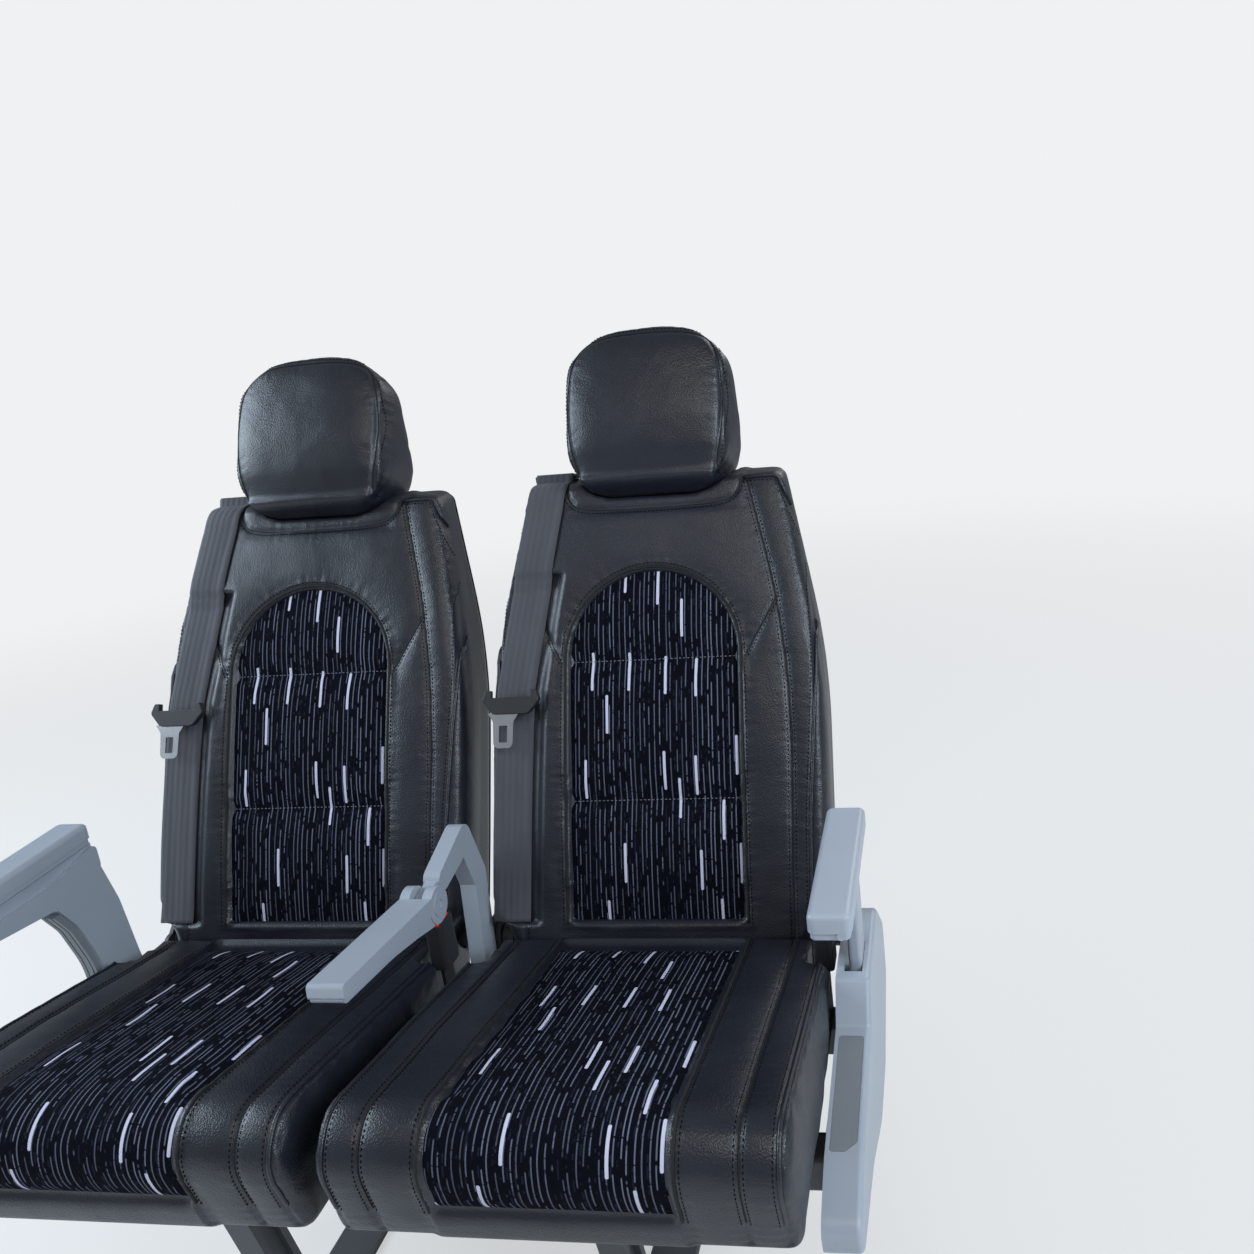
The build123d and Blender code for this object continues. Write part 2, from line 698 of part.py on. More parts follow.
def make_side_plate(side):
    """Outer side plate with its boss and bore for the recline pin."""
    x0 = side * plate_x
    plate = at_x(extrude(plate_outline(), amount=side * plate_thickness), x0)
    boss = x_rod(boss_r, x0 - side * boss_depth, x0, pivot_y, pivot_z)
    past = side * (boss_depth + plate_thickness)
    return plate + boss - x_rod(hinge_pin_r + pin_fit, x0 - past, x0 + past, pivot_y, pivot_z)


def make_centre_plate():
    """Middle plate round both cross tubes, with a boss on each side."""
    half = centre_plate_thickness / 2
    reach = half + boss_depth
    plate = slab(plate_outline(), half)
    for y in (front_tube_y, rear_tube_y):
        plate -= Pos(0, y, tube_z) * Box(4 * half, tube_size, tube_size)
    plate += x_rod(boss_r, -reach, reach, pivot_y, pivot_z)
    return plate - x_rod(hinge_pin_r + pin_fit, -reach - 1, reach + 1, pivot_y, pivot_z)


def make_leg(x):
    """Cast floor leg: foot plate, two recessed columns that lean together, and a rail under the cross tubes."""
    rail_top = tube_z - tube_size / 2
    rail_low = rail_top - top_rail
    y_front = front_tube_y - tube_size / 2 - 6
    y_rear = rear_tube_y + tube_size / 2 + 6
    c, foot_z = leg_column, foot_thickness
    columns = [             # Y of the top's two corners, Y of the foot's two corners
        (y_front, y_front + c, -leg_splay, -leg_splay - c),
        (y_rear - c, y_rear, leg_splay + c, leg_splay),
    ]
    frame = side_face([
        (y_front, rail_top, 0), (y_rear, rail_top, 0), (y_rear, rail_low, 6),
        (leg_splay + c, foot_z, 0), (leg_splay, foot_z, 0), (y_rear - c, rail_low, leg_arch_r),
        (y_front + c, rail_low, leg_arch_r), (-leg_splay, foot_z, 0), (-leg_splay - c, foot_z, 0),
        (y_front, rail_low, 6),
    ])
    leg = slab(frame, leg_width / 2)
    for y0, y1, y2, y3 in columns:
        column = side_face([(y0, rail_low, 0), (y1, rail_low, 0), (y2, foot_z, 0), (y3, foot_z, 0)])
        recess = slab(offset(column, -leg_rim), leg_width)
        leg -= recess - slab(frame, leg_width / 2 - leg_pocket)
    foot = block(-foot_width / 2, foot_width / 2, -foot_length / 2, foot_length / 2, 0, foot_thickness)
    foot = fillet(foot.edges().filter_by(Axis.Z), foot_corner_r)
    leg += chamfer(foot.edges().group_by(Axis.Z)[-1], 2)
    for y in (-bolt_y, bolt_y):
        leg -= Pos(0, y, foot_thickness / 2) * Cylinder(bolt_hole_r, foot_thickness * 2)
    return at_x(leg, x)


# Armrests

def arm_pad(button=False):
    """Armrest pad: a flat cap with crisp edges over a slightly narrower lower part."""
    seam_z = pad_top_z - pad_cap
    w = pad_width / 2
    cap = block(-w, w, pad_front_y, pad_rear_y, seam_z, pad_top_z)
    cap = fillet(cap.edges().filter_by(Axis.Z), pad_corner_r)
    cap = fillet(cap.edges().group_by(Axis.Z)[-1], pad_edge_r)
    s = pad_step
    base = block(-w + s, w - s, pad_front_y + s, pad_rear_y - s, pad_low_z, seam_z)
    base = fillet(base.edges().filter_by(Axis.Z), pad_corner_r - s)
    base = chamfer(base.edges().group_by(Axis.Z)[0], s)
    if button:
        cap += y_rod(pad_button_r, pad_front_y, pad_front_y + 2 * pad_corner_r, w / 2, pad_low_z + pad_button_r + s)
    return cap + base


def make_post():
    """Outer post of the dropping armrest, rounded on its four long edges."""
    post = block(-post_inner, post_outer, post_front_y, post_front_y + post_depth,
                 console_top_z - post_inside, pad_low_z)
    return at_x(fillet(post.edges().filter_by(Axis.Z), post_corner_r), pad_x)


def make_rail():
    """Flat steel rail on the post's inner face, with a row of small holes."""
    low = console_top_z - post_inside
    rail = block(-post_inner - rail_thickness, -post_inner, rail_front_y, rail_front_y + rail_depth, low, pad_low_z)
    y = rail_front_y + rail_depth / 2
    count = int((pad_low_z - console_top_z) / rail_pitch)
    for i in range(count):
        z = pad_low_z - (i + 0.5) * rail_pitch
        rail -= x_rod(rail_hole_r, -post_inner - 2 * rail_thickness, -post_inner + 1, y, z)
    return at_x(rail, pad_x)


def console_rows():
    """Side outline of the console: level over the slot, a step, then a long nose that falls to the front."""
    top, low = console_top_z, console_bottom_z
    nose_z = top - console_fall - console_nose_drop
    return [                # Y, Z, radius
        (pivot_y + console_rear, top - console_rear_cut, 26), (pivot_y - 20, top, 30), (post_front_y - 24, top, 8),
        (post_front_y - 52, top - console_step, 6), (console_bend_y, top - console_fall, 60),
        (console_nose_y, nose_z, 18), (console_nose_y + 4, nose_z - console_nose_depth, 20),
        (console_nose_y / 2 - 7, low + console_belly, 80), (post_front_y - 20, low, 40),
        (post_front_y + post_depth + 30, low, 40), (pivot_y + console_rear, low + console_rear_cut, 26),
    ]


def make_console():
    """Hollow console with the armrest's slot and a recessed panel along its nose."""
    rows = console_rows()
    outer = rounded(rows)
    whole = extrude(Plane.YZ * outer, amount=console_width)
    form = fillet(whole.faces().sort_by(Axis.X)[-1].edges(), console_rim_r)
    hollow = extrude(Plane.YZ * offset(outer, -console_wall), amount=console_width - console_wall)
    middle = pad_x - console_x
    x0 = middle - post_inner - rail_thickness - slot_play
    x1 = middle + post_outer + slot_play
    y0 = rail_front_y - slot_front_play
    y1 = post_front_y + post_depth + slot_play
    w = slot_wall
    guide = block(x0 - w, x1 + w, y0 - w, y1 + w, console_bottom_z, console_top_z - 1)
    slot = block(x0, x1, y0, y1, console_bottom_z - 5, console_top_z + 5)
    shell = form - hollow + (guide & whole) - slot
    (rear_y, rear_z), (front_y, front_z) = [row[:2] for row in rows[3:5]]
    slope = (rear_z - front_z) / (rear_y - front_y)
    half = Vector(rear_y - front_y, rear_z - front_z).length / 2 - console_panel_margin
    plane = Plane(origin=(console_width / 2 - console_panel_shift, (rear_y + front_y) / 2, (rear_z + front_z) / 2),
                  x_dir=(1, 0, 0), z_dir=(0, -slope, 1))
    p, cut = console_panel_width / 2, console_panel_corner
    panel = rounded([(-p, -half, 3), (p - cut, -half, 5), (p, cut - half, 5), (p, half, 3), (-p, half, 3)])
    t = console_panel_thickness
    recess = extrude(plane * offset(panel, soft_gap), amount=t, both=True)
    return at_x(shell - recess, console_x), at_x(extrude(plane * panel, amount=-t), console_x)


def make_window_arm():
    """Fixed armrest on the window side: pad, tapered shell on a neck, curved bracket and its front trim."""
    z = pad_low_z
    foot_y, foot_z, foot_width = bracket_foot_y, bracket_foot_z, bracket_foot_width
    pad = at_x(arm_pad(), -pad_x)
    shell_rows = [          # Y, Z, radius
        (pad_rear_y + 2, z - 2, 7), (pad_rear_y + 2, z - 40, 14), (-60, z - 46, 80),
        (pad_front_y + 40, z - 32, 10), (pad_front_y + 32, z - 15, 6), (-60, z - 17, 60),
    ]
    neck_rows = [
        (pad_rear_y, z, 0), (pad_rear_y, z - 26, 6), (-60, z - 32, 40), (pad_front_y + 44, z - 26, 6),
        (pad_front_y + 44, z, 0),
    ]
    bracket_rows = [
        (pad_rear_y, z - 30, 4), (bracket_waist_y + 50, bracket_waist_z + 60, 70),
        (bracket_waist_y + 58, bracket_waist_z - 20, 90), (foot_y + foot_width + 12, foot_z + 22, 16),
        (foot_y + foot_width, foot_z, 12), (foot_y, foot_z, 12), (bracket_waist_y - 2, foot_z + 54, 40),
        (bracket_waist_y, bracket_waist_z, 150), (bracket_waist_y - 20, bracket_waist_z + 65, 70),
        (bracket_waist_y - 44, z - 42, 8),
    ]
    shell = slab(side_face(shell_rows), shell_half) + slab(side_face(neck_rows), neck_half)
    shell = at_x(shell, -pad_x)
    outline = rounded(bracket_rows)
    bracket = extrude(Plane.YZ * outline, amount=-bracket_thickness)
    bracket = fillet(bracket.faces().sort_by(Axis.X)[0].edges(), bracket_edge_r)
    bracket = at_x(bracket, -console_x) - shell
    band = offset(outline, trim_thickness) - outline
    zone = block(-cut_reach, cut_reach, -cut_reach, 0, foot_z + trim_low, z - trim_high)
    trim = extrude(Plane.YZ * band, amount=-(bracket_thickness - 2 * trim_inset)) & zone
    groove = extrude(Plane.YZ * (band - offset(outline, trim_thickness - trim_groove)), amount=-trim_groove)
    for x in (-trim_inset, -3 * trim_inset):
        trim -= at_x(groove, x)
    return pad, shell, bracket, at_x(trim, -console_x - trim_inset) - shell - bracket


def strap(circles, half):
    """Flat bar in the side plane whose edges wrap a chain of circles."""
    whole = None
    for (y0, z0, r0), (y1, z1, r1) in zip(circles, circles[1:]):
        rims = (Pos(y0, z0) * Circle(r0)).edges() + (Pos(y1, z1) * Circle(r1)).edges()
        piece = slab(Plane.YZ * make_hull(rims), half)
        whole = piece if whole is None else whole + piece
    return whole


def make_centre_support(plate):
    """Fixed arm that rises between the backs and carries the centre armrest's pivot."""
    circles = [             # Y, Z, radius
        (rear_tube_y + 46, tube_z + 36, support_half),
        (rear_tube_y + 60, support_top_z - 64, support_half),
        (support_top_y, support_top_z, support_half),
        (centre_pivot_y + 39, centre_pivot_z + 10, support_half - 4),
    ]
    body = strap(circles, support_thickness / 2)
    neck = [(support_top_y - 18, support_top_z - 12, tongue_bar_r), (centre_pivot_y, centre_pivot_z, tongue_bar_r)]
    tongue = strap(neck, tongue_bar_thickness / 2)
    end = centre_arm_width / 2 - 0.5
    pin = x_rod(arm_pin_r, -end, end, centre_pivot_y, centre_pivot_z)
    return body + tongue + pin - plate


def make_centre_arm():
    """Folding armrest: flat cap, scooped underside, and a forked hub with a cap on each side."""
    rise = radians(centre_arm_rise)
    plane = Plane(origin=(0, centre_pivot_y, centre_pivot_z), x_dir=(0, -cos(rise), sin(rise)), z_dir=(-1, 0, 0))
    length, half = centre_arm_length, centre_arm_width / 2
    cap_rows = [            # along the arm, up from the pivot, radius
        (-12, arm_top, 6), (length, arm_top, 5), (length, arm_seam - 3, 4), (length * 0.35, arm_seam - 6, 60),
        (-12, arm_seam - 6, 0),
    ]
    low_rows = [
        (4, arm_seam, 0), (length - arm_step, arm_seam, 0), (length - arm_step, arm_seam - arm_nose_height, 6),
        (length * 0.52, arm_seam - arm_nose_height - 2, 200), (length * 0.26, -centre_hub_r * 0.67, 60),
        (length * 0.06, -centre_hub_r + 1, 6),
    ]
    form = slab(plane * (rounded(cap_rows) + Circle(centre_hub_r)), half)
    form += slab(plane * rounded(low_rows), half - arm_step)
    form += slab(plane * Circle(hub_cap_r), half + hub_cap_height)
    slot = Rectangle(fork_front + fork_rear, fork_top + fork_r)
    fork = Circle(fork_r) + Pos((fork_front - fork_rear) / 2, (fork_top - fork_r) / 2) * slot
    form -= slab(plane * fork, tongue_bar_thickness / 2 + slot_play)
    return form - x_rod(arm_pin_r + pin_fit, -half - 5, half + 5, centre_pivot_y, centre_pivot_z)


def build():
    """All pieces by node name."""
    cushion, seat_insert = make_cushion()
    backrest, back_insert, back_shell, profile = make_back()
    magazine_rail, magazine_net = make_magazine(backrest + back_shell)
    grip, tongue_plate = make_tongue(profile)
    centre_plate = make_centre_plate()
    console, console_panel = make_console()
    pad, arm_shell, arm_bracket, arm_trim = make_window_arm()
    nodes = {
        "leg_window": make_leg(-leg_x), "leg_aisle": make_leg(leg_x),
        "crossbar_front": make_front_tube(), "crossbar_rear": make_tube(rear_tube_y),
        "side_plate_window": make_side_plate(-1), "side_plate_aisle": make_side_plate(1),
        "side_plate_centre": centre_plate,
        "console_shell": console, "console_insert": console_panel,
        "window_armrest_pad": pad, "window_armrest_shell": arm_shell,
        "window_armrest_bracket": arm_bracket, "window_armrest_trim": arm_trim,
        "centre_armrest_support": make_centre_support(centre_plate), "centre_armrest": make_centre_arm(),
        "aisle_armrest_pad": at_x(arm_pad(button=True), pad_x), "aisle_armrest_post": make_post(),
        "aisle_armrest_rail": make_rail(),
    }
    on_each_seat = {
        "cushion_pan": make_pan(), "seat_cushion": cushion, "seat_insert": seat_insert,
        "backrest": backrest, "back_insert": back_insert, "back_shell": back_shell,
        "magazine_rail": magazine_rail, "magazine_net": magazine_net, "headrest": make_headrest(),
        "belt": make_belt(profile), "belt_guide": make_belt_guide(),
        "tongue_grip": grip, "tongue_plate": tongue_plate,
    }
    centre_reach = centre_plate_thickness / 2 + boss_depth
    outer_reach = plate_x - boss_depth
    bearings = {"window": (-outer_reach, -centre_reach), "aisle": (centre_reach, outer_reach)}
    for seat, xc in seats.items():
        for name, shape in on_each_seat.items():
            nodes[f"{name}_{seat}"] = at_x(shape, xc)
        nodes[f"backrest_{seat}"] -= x_rod(hinge_tube_r + soft_gap, -cut_reach, cut_reach, pivot_y, pivot_z)
        nodes[f"back_hinge_{seat}"] = make_hinge(xc, *bearings[seat])
        nodes[f"gas_cylinder_{seat}"] = make_cylinder(xc)
        nodes[f"gas_rod_{seat}"] = make_rod(xc)
        nodes[f"buckle_body_{seat}"], nodes[f"buckle_button_{seat}"] = make_buckle(xc)
    return nodes


os.makedirs("parts", exist_ok=True)
for node, shape in build().items():
    export_step(shape, f"parts/{node}.step")
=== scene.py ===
import json
from math import cos, pi, radians, sin, sqrt

import bmesh
import bpy
import numpy as np
from mathutils import Matrix, Vector, noise
from mathutils.bvhtree import BVHTree


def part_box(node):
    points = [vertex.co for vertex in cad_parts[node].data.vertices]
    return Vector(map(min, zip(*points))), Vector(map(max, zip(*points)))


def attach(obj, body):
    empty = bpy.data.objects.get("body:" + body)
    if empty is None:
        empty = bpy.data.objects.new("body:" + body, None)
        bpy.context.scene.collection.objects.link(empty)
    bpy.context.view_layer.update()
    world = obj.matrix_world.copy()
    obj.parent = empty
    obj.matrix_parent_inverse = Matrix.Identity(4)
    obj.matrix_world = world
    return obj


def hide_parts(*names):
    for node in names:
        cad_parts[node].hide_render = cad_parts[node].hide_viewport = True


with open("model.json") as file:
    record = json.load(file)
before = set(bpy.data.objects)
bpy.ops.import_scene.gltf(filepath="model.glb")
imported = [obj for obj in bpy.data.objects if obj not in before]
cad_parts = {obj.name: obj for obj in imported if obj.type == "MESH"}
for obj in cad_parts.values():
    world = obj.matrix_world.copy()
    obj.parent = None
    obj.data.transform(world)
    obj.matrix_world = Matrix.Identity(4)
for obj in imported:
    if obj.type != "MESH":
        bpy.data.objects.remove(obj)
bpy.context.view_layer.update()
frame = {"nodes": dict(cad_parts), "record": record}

seats = {"window": -0.232, "aisle": 0.232}
backBody = {"window": "window_back", "aisle": "aisle_back"}


# Node maths: a Term is a socket, and an expression on Terms adds the Math nodes

class Term:
    def __init__(self, graph, socket):
        self.graph = graph
        self.socket = socket

    def math(self, operation, *others):
        return self.graph.node("Math", {"operation": operation}, [self, *others])

    def __add__(self, other):
        return self.math("ADD", other)

    __radd__ = __add__

    def __mul__(self, other):
        return self.math("MULTIPLY", other)

    __rmul__ = __mul__

    def __sub__(self, other):
        return self.math("SUBTRACT", other)

    def __rsub__(self, other):
        return self.graph.node("Math", {"operation": "SUBTRACT"}, [other, self])

    def __truediv__(self, other):
        return self.math("DIVIDE", other)

    def above(self, level):
        return self.math("GREATER_THAN", level)

    def wave(self, length):
        # a sine between 0 and 1
        return (self * (2 * pi / length)).math("SINE") * 0.5 + 0.5

    def ramp(self, low, high):
        # 0 below low and 1 above high, smooth between
        values = {"Value": self, "From Min": low, "From Max": high}
        return self.graph.node("MapRange", {"interpolation_type": "SMOOTHSTEP"}, values)


class Graph:
    def __init__(self, tree):
        self.tree = tree

    def node(self, kind, settings=None, values=(), out=0):
        # kind is short for a shader node and whole for any other
        made = self.tree.nodes.new(kind if "Node" in kind else "ShaderNode" + kind)
        for key, value in (settings or {}).items():
            setattr(made, key, value)
        pairs = values.items() if isinstance(values, dict) else enumerate(values)
        for key, value in pairs:
            if isinstance(value, Term):
                self.tree.links.new(value.socket, made.inputs[key])
            else:
                made.inputs[key].default_value = value
        return Term(self, made.outputs[out])


class Shade(Graph):
    def __init__(self, name, **fixed):
        # fixed holds sockets of the shader itself, with _ in place of a space
        self.material = bpy.data.materials.new(name)
        self.material.use_nodes = True
        super().__init__(self.material.node_tree)
        self.surface = self.tree.nodes["Principled BSDF"]
        for socket, value in fixed.items():
            self.surface.inputs[socket.replace("_", " ")].default_value = value

    def objectPlace(self):
        return self.node("TexCoord", out="Object")

    def clothPlace(self):
        # across and along a cloth, in metres
        split = self.node("SeparateXYZ", {}, [self.node("UVMap", {"uv_map": "cloth"})])
        return split, Term(self, split.socket.node.outputs[1])

    def noise(self, scale, detail=2.0, where=None):
        values = {"Vector": where or self.objectPlace(), "Scale": scale, "Detail": detail}
        return self.node("TexNoise", {}, values, out="Fac")

    def stretched(self, scales):
        place = self.objectPlace()
        return self.node("VectorMath", {"operation": "MULTIPLY"}, [place, scales], out="Vector")

    def mix(self, factor, first, second):
        # colours are (r, g, b) or Terms
        made = {0: factor, 6: first, 7: second}
        for key in (6, 7):
            if not isinstance(made[key], Term):
                made[key] = (*made[key], 1)
        return self.node("Mix", {"data_type": "RGBA", "clamp_factor": True}, made, out=2)

    def feed(self, socket, term):
        self.tree.links.new(term.socket, self.surface.inputs[socket])

    def bump(self, *layers):
        # each layer: height Term, strength, distance in metres
        normal = None
        for height, strength, distance in layers:
            values = {"Height": height, "Strength": strength, "Distance": distance}
            if normal:
                values["Normal"] = normal
            normal = self.node("Bump", {}, values)
        self.feed("Normal", normal)


def leatherette():
    look = {"dark": (0.0060, 0.0076, 0.0130), "light": (0.0125, 0.0148, 0.0232), "rough": 0.25,
            "grain": 620.0, "fine": 1500.0, "creases": 75.0, "wear": 7.0}
    shade = Shade("leatherette", Specular_IOR_Level=0.58)
    values = {"Vector": shade.objectPlace(), "Scale": look["grain"], "Smoothness": 0.6}
    cells = shade.node("TexVoronoi", {"feature": "SMOOTH_F1"}, values, out="Distance")
    fine = shade.noise(look["fine"])
    creases = shade.noise(look["creases"], 4, shade.stretched((1.0, 1.0, 0.45)))
    wear = shade.noise(look["wear"], 3)
    paler = wear.ramp(0.35, 0.75) * 0.7 + cells * 0.3
    shade.feed("Base Color", shade.mix(paler, look["dark"], look["light"]))
    shade.feed("Roughness", look["rough"] + cells * 0.12 + wear * 0.09 + fine * 0.05)
    shade.bump((creases, 0.16, 0.0013), (cells, 0.60, 0.0005), (fine, 0.12, 0.0002))
    return shade.material


def stripeFabric():
    look = {"ground": (0.0030, 0.0036, 0.0070), "line": (0.160, 0.176, 0.245), "haze": (0.011, 0.014, 0.028),
            "dash": (0.62, 0.62, 0.76), "pitch": 0.0066, "lineHalf": 0.00062, "sway": 0.0006, "pile": 2600.0,
            "runs": 40.0, "breaks": 210.0, "hazeRuns": 95.0, "hazeEdge": (0.0004, 0.0013),
            "dashColumn": 0.0235, "dashRow": 0.122, "dashHalf": 0.0240, "dashWidth": 0.0017, "share": 0.50}
    shade = Shade("stripeFabric", Specular_IOR_Level=0.05)
    across, along = shade.clothPlace()

    def randomOf(*terms):
        place = shade.node("CombineXYZ", {}, list(terms))
        return shade.node("TexWhiteNoise", {"noise_dimensions": "3D"}, {"Vector": place}, out="Value")

    def noiseAt(column, runs, seed):
        place = shade.node("CombineXYZ", {}, [column * 7.31 + seed, along * runs, 0.0])
        values = {"Vector": place, "Scale": 1.0, "Detail": 2.0}
        return shade.node("TexNoise", {"noise_dimensions": "2D"}, values, out="Fac")

    # thin lines: each column has its own place, strength and breaks, with a fainter line beside it
    shifted = across + (shade.noise(30.0, 1) - 0.5) * look["sway"]
    column = (shifted / look["pitch"]).math("FLOOR")
    inside = shifted - (column + 0.5) * look["pitch"]
    offset = (randomOf(column, 3.0) - 0.5) * look["pitch"] * 0.5
    reach = (inside - offset).math("ABSOLUTE")
    thin = 1 - reach.ramp(look["lineHalf"] * 0.6, look["lineHalf"] * 1.5)
    run = noiseAt(column, look["runs"], 11.0).ramp(0.38, 0.44)
    unbroken = noiseAt(column, look["breaks"], 5.0).ramp(0.24, 0.36)
    lineMask = thin * run * unbroken * (randomOf(column, 9.0) * 0.55 + 0.35)
    aside = (inside + offset * 0.5 + look["pitch"] * 0.28).math("ABSOLUTE")
    haze = (1 - aside.ramp(*look["hazeEdge"])) * noiseAt(column, look["hazeRuns"], 29.0).ramp(0.52, 0.60)

    # pale dashes with round ends, some of the cells of a loose grid
    dashColumn = (across / look["dashColumn"]).math("FLOOR")
    slide = randomOf(dashColumn, 41.0) * look["dashRow"]
    dashRow = ((along + slide) / look["dashRow"]).math("FLOOR")
    chance = randomOf(dashColumn, dashRow, 7.0)
    centreU = (dashColumn + 0.5 + (randomOf(dashColumn, dashRow, 17.0) - 0.5) * 0.5) * look["dashColumn"]
    centreV = (dashRow + 0.5 + (chance - 0.5) * 0.45) * look["dashRow"] - slide
    overU = (across - centreU).math("ABSOLUTE")
    straight = look["dashHalf"] - look["dashWidth"]
    overV = ((along - centreV).math("ABSOLUTE") - straight).math("MAXIMUM", 0.0)
    far = (overU * overU + overV * overV).math("SQRT")
    dash = 1 - far.ramp(look["dashWidth"] * 0.85, look["dashWidth"] * 1.15)
    dashMask = dash * (look["share"] - chance).above(0.0)

    pile = shade.noise(look["pile"])
    ground = shade.mix(haze, look["ground"], look["haze"])
    lined = shade.mix(lineMask, ground, look["line"])
    shade.feed("Base Color", shade.mix(dashMask * (0.85 + pile * 0.15), lined, look["dash"]))
    shade.feed("Roughness", 0.82 + pile * 0.12 - dashMask * 0.25)
    shade.bump((pile, 0.45, 0.0004), (dashMask + lineMask * 0.5, 0.5, 0.0004))
    return shade.material


def webbing():
    look = {"dark": (0.040, 0.041, 0.050), "light": (0.092, 0.094, 0.112), "rib": 0.0083, "yarn": 0.0016,
            "slant": 0.9, "fade": 12.0}
    shade = Shade("beltWebbing", Specular_IOR_Level=0.35, Sheen_Weight=0.15)
    across, along = shade.clothPlace()
    ribs = across.wave(look["rib"])
    yarn = (across * look["slant"] + along).wave(look["yarn"])
    crossed = (across * -look["slant"] + along).wave(look["yarn"])
    side = ribs.above(0.5)
    twill = side * yarn + (1 - side) * crossed
    fade = shade.noise(look["fade"])
    shade.feed("Base Color", shade.mix(twill * 0.55 + fade * 0.45, look["dark"], look["light"]))
    shade.feed("Roughness", 0.62 + twill * 0.12)
    shade.bump((ribs, 0.5, 0.0008), (twill, 0.6, 0.0003))
    return shade.material


def plastic(name, colour, rough, texture=0.25, **fixed):
    look = {"grain": 1100.0, "cloud": 9.0, "darker": 0.86, "lighter": 1.08}
    shade = Shade(name, **fixed)
    grain = shade.noise(look["grain"])
    cloud = shade.noise(look["cloud"], 3)
    darker, lighter = (tuple(look[k] * c for c in colour) for k in ("darker", "lighter"))
    shade.feed("Base Color", shade.mix(cloud * 0.75 + grain * 0.25, darker, lighter))
    shade.feed("Roughness", rough - 0.06 + grain * 0.06 + cloud * 0.08)
    shade.bump((grain, texture, 0.0002))
    return shade.material


def metal(name, colour, rough, brushed=0.0):
    look = {"lines": 900.0, "along": 0.04, "spots": 25.0, "darker": 0.9}
    shade = Shade(name, Metallic=1.0)
    lines = shade.noise(look["lines"], 2, shade.stretched((1.0, look["along"], 1.0)))
    spots = shade.noise(look["spots"], 3)
    shade.feed("Base Color", shade.mix(spots, tuple(look["darker"] * c for c in colour), colour))
    shade.feed("Roughness", rough * 0.85 + spots * rough * 0.3 + lines * brushed)
    if brushed:
        shade.bump((lines, 0.2, 0.0001))
    return shade.material


def powderCoat():
    look = {"dark": (0.050, 0.054, 0.060), "light": (0.078, 0.082, 0.088), "peel": 420.0, "dust": 6.0}
    shade = Shade("framePaint")
    peel = shade.noise(look["peel"])
    dust = shade.noise(look["dust"], 4)
    shade.feed("Base Color", shade.mix(dust, look["dark"], look["light"]))
    shade.feed("Roughness", 0.42 + dust * 0.2)
    shade.bump((peel, 0.35, 0.0005))
    return shade.material


print("materials")
finishes = {
    "leatherette": leatherette(),
    "stripe_fabric": stripeFabric(),
    "belt_webbing": webbing(),
    "net_fabric": plastic("netCord", (0.018, 0.018, 0.020), 0.75),
    "grey_plastic": plastic("silverPlastic", (0.36, 0.40, 0.46), 0.34),
    "dark_grey_plastic": plastic("greyPlastic", (0.20, 0.22, 0.24), 0.48, 0.4),
    "black_plastic": plastic("blackPlastic", (0.022, 0.022, 0.025), 0.45, 0.4),
    "red_plastic": plastic("redPlastic", (0.80, 0.055, 0.012), 0.32, 0.1),
    "chrome": metal("chrome", (0.70, 0.71, 0.73), 0.24),
    "bright_steel": metal("groundSteel", (0.60, 0.60, 0.62), 0.26, 0.12),
    "spring_paint": plastic("springPaint", (0.025, 0.025, 0.028), 0.3, 0.1),
    "frame_paint": powderCoat(),
}
slotOf = {part["node"]: part["material_slot"] for part in frame["record"]["subparts"]}
for name, node in frame["nodes"].items():
    node.data.materials.clear()
    node.data.materials.append(finishes[slotOf[name]])


# Coordinates: a back's run across it, up it from the crease, and out of its front

lean = radians(25.0)
creasePlace = (0.060, 0.430)
backPlace = Matrix(((1, 0, 0, 0), (0, sin(lean), -cos(lean), creasePlace[0]),
                    (0, cos(lean), sin(lean), creasePlace[1]), (0, 0, 0, 1)))
rowPlace = Matrix.Identity(4)


# Helpers: meshes, lines and surfaces

def linked(mesh, name):
    made = bpy.data.objects.new(name, mesh)
    bpy.context.scene.collection.objects.link(made)
    return made


def frozen(obj):
    # the object's mesh with its modifiers in it; the object goes
    bpy.context.view_layer.update()
    mesh = bpy.data.meshes.new_from_object(obj.evaluated_get(bpy.context.evaluated_depsgraph_get()))
    bpy.data.objects.remove(obj)
    return mesh


def modified(mesh, kind, **settings):
    obj = linked(mesh, "work")
    extra = obj.modifiers.new(kind, kind)
    for key, value in settings.items():
        setattr(extra, key, value)
    return frozen(obj)


def vectorsOf(items, name):
    out = np.empty(len(items) * 3, dtype=np.float32)
    items.foreach_get(name, out)
    return out.reshape(-1, 3).astype(float)


def places(mesh):
    return vectorsOf(mesh.vertices, "co")


def normals(mesh):
    return vectorsOf(mesh.vertex_normals, "vector")


def setPlaces(mesh, points):
    mesh.vertices.foreach_set("co", np.ascontiguousarray(points, dtype=np.float32).ravel())
    mesh.update()


def cadCopy(name, place):
    # a CAD node of the aisle seat, merged, about its seat's middle and in the coordinates of place
    node = frame["nodes"][name + "_aisle"]
    mesh = node.data.copy()
    mesh.transform(place.inverted() @ Matrix.Translation((-seats["aisle"], 0, 0)) @ node.matrix_world)
    work = bmesh.new()
    work.from_mesh(mesh)
    bmesh.ops.remove_doubles(work, verts=work.verts, dist=1e-5)
    work.to_mesh(mesh)
    work.free()
    mesh.materials.clear()
    return mesh


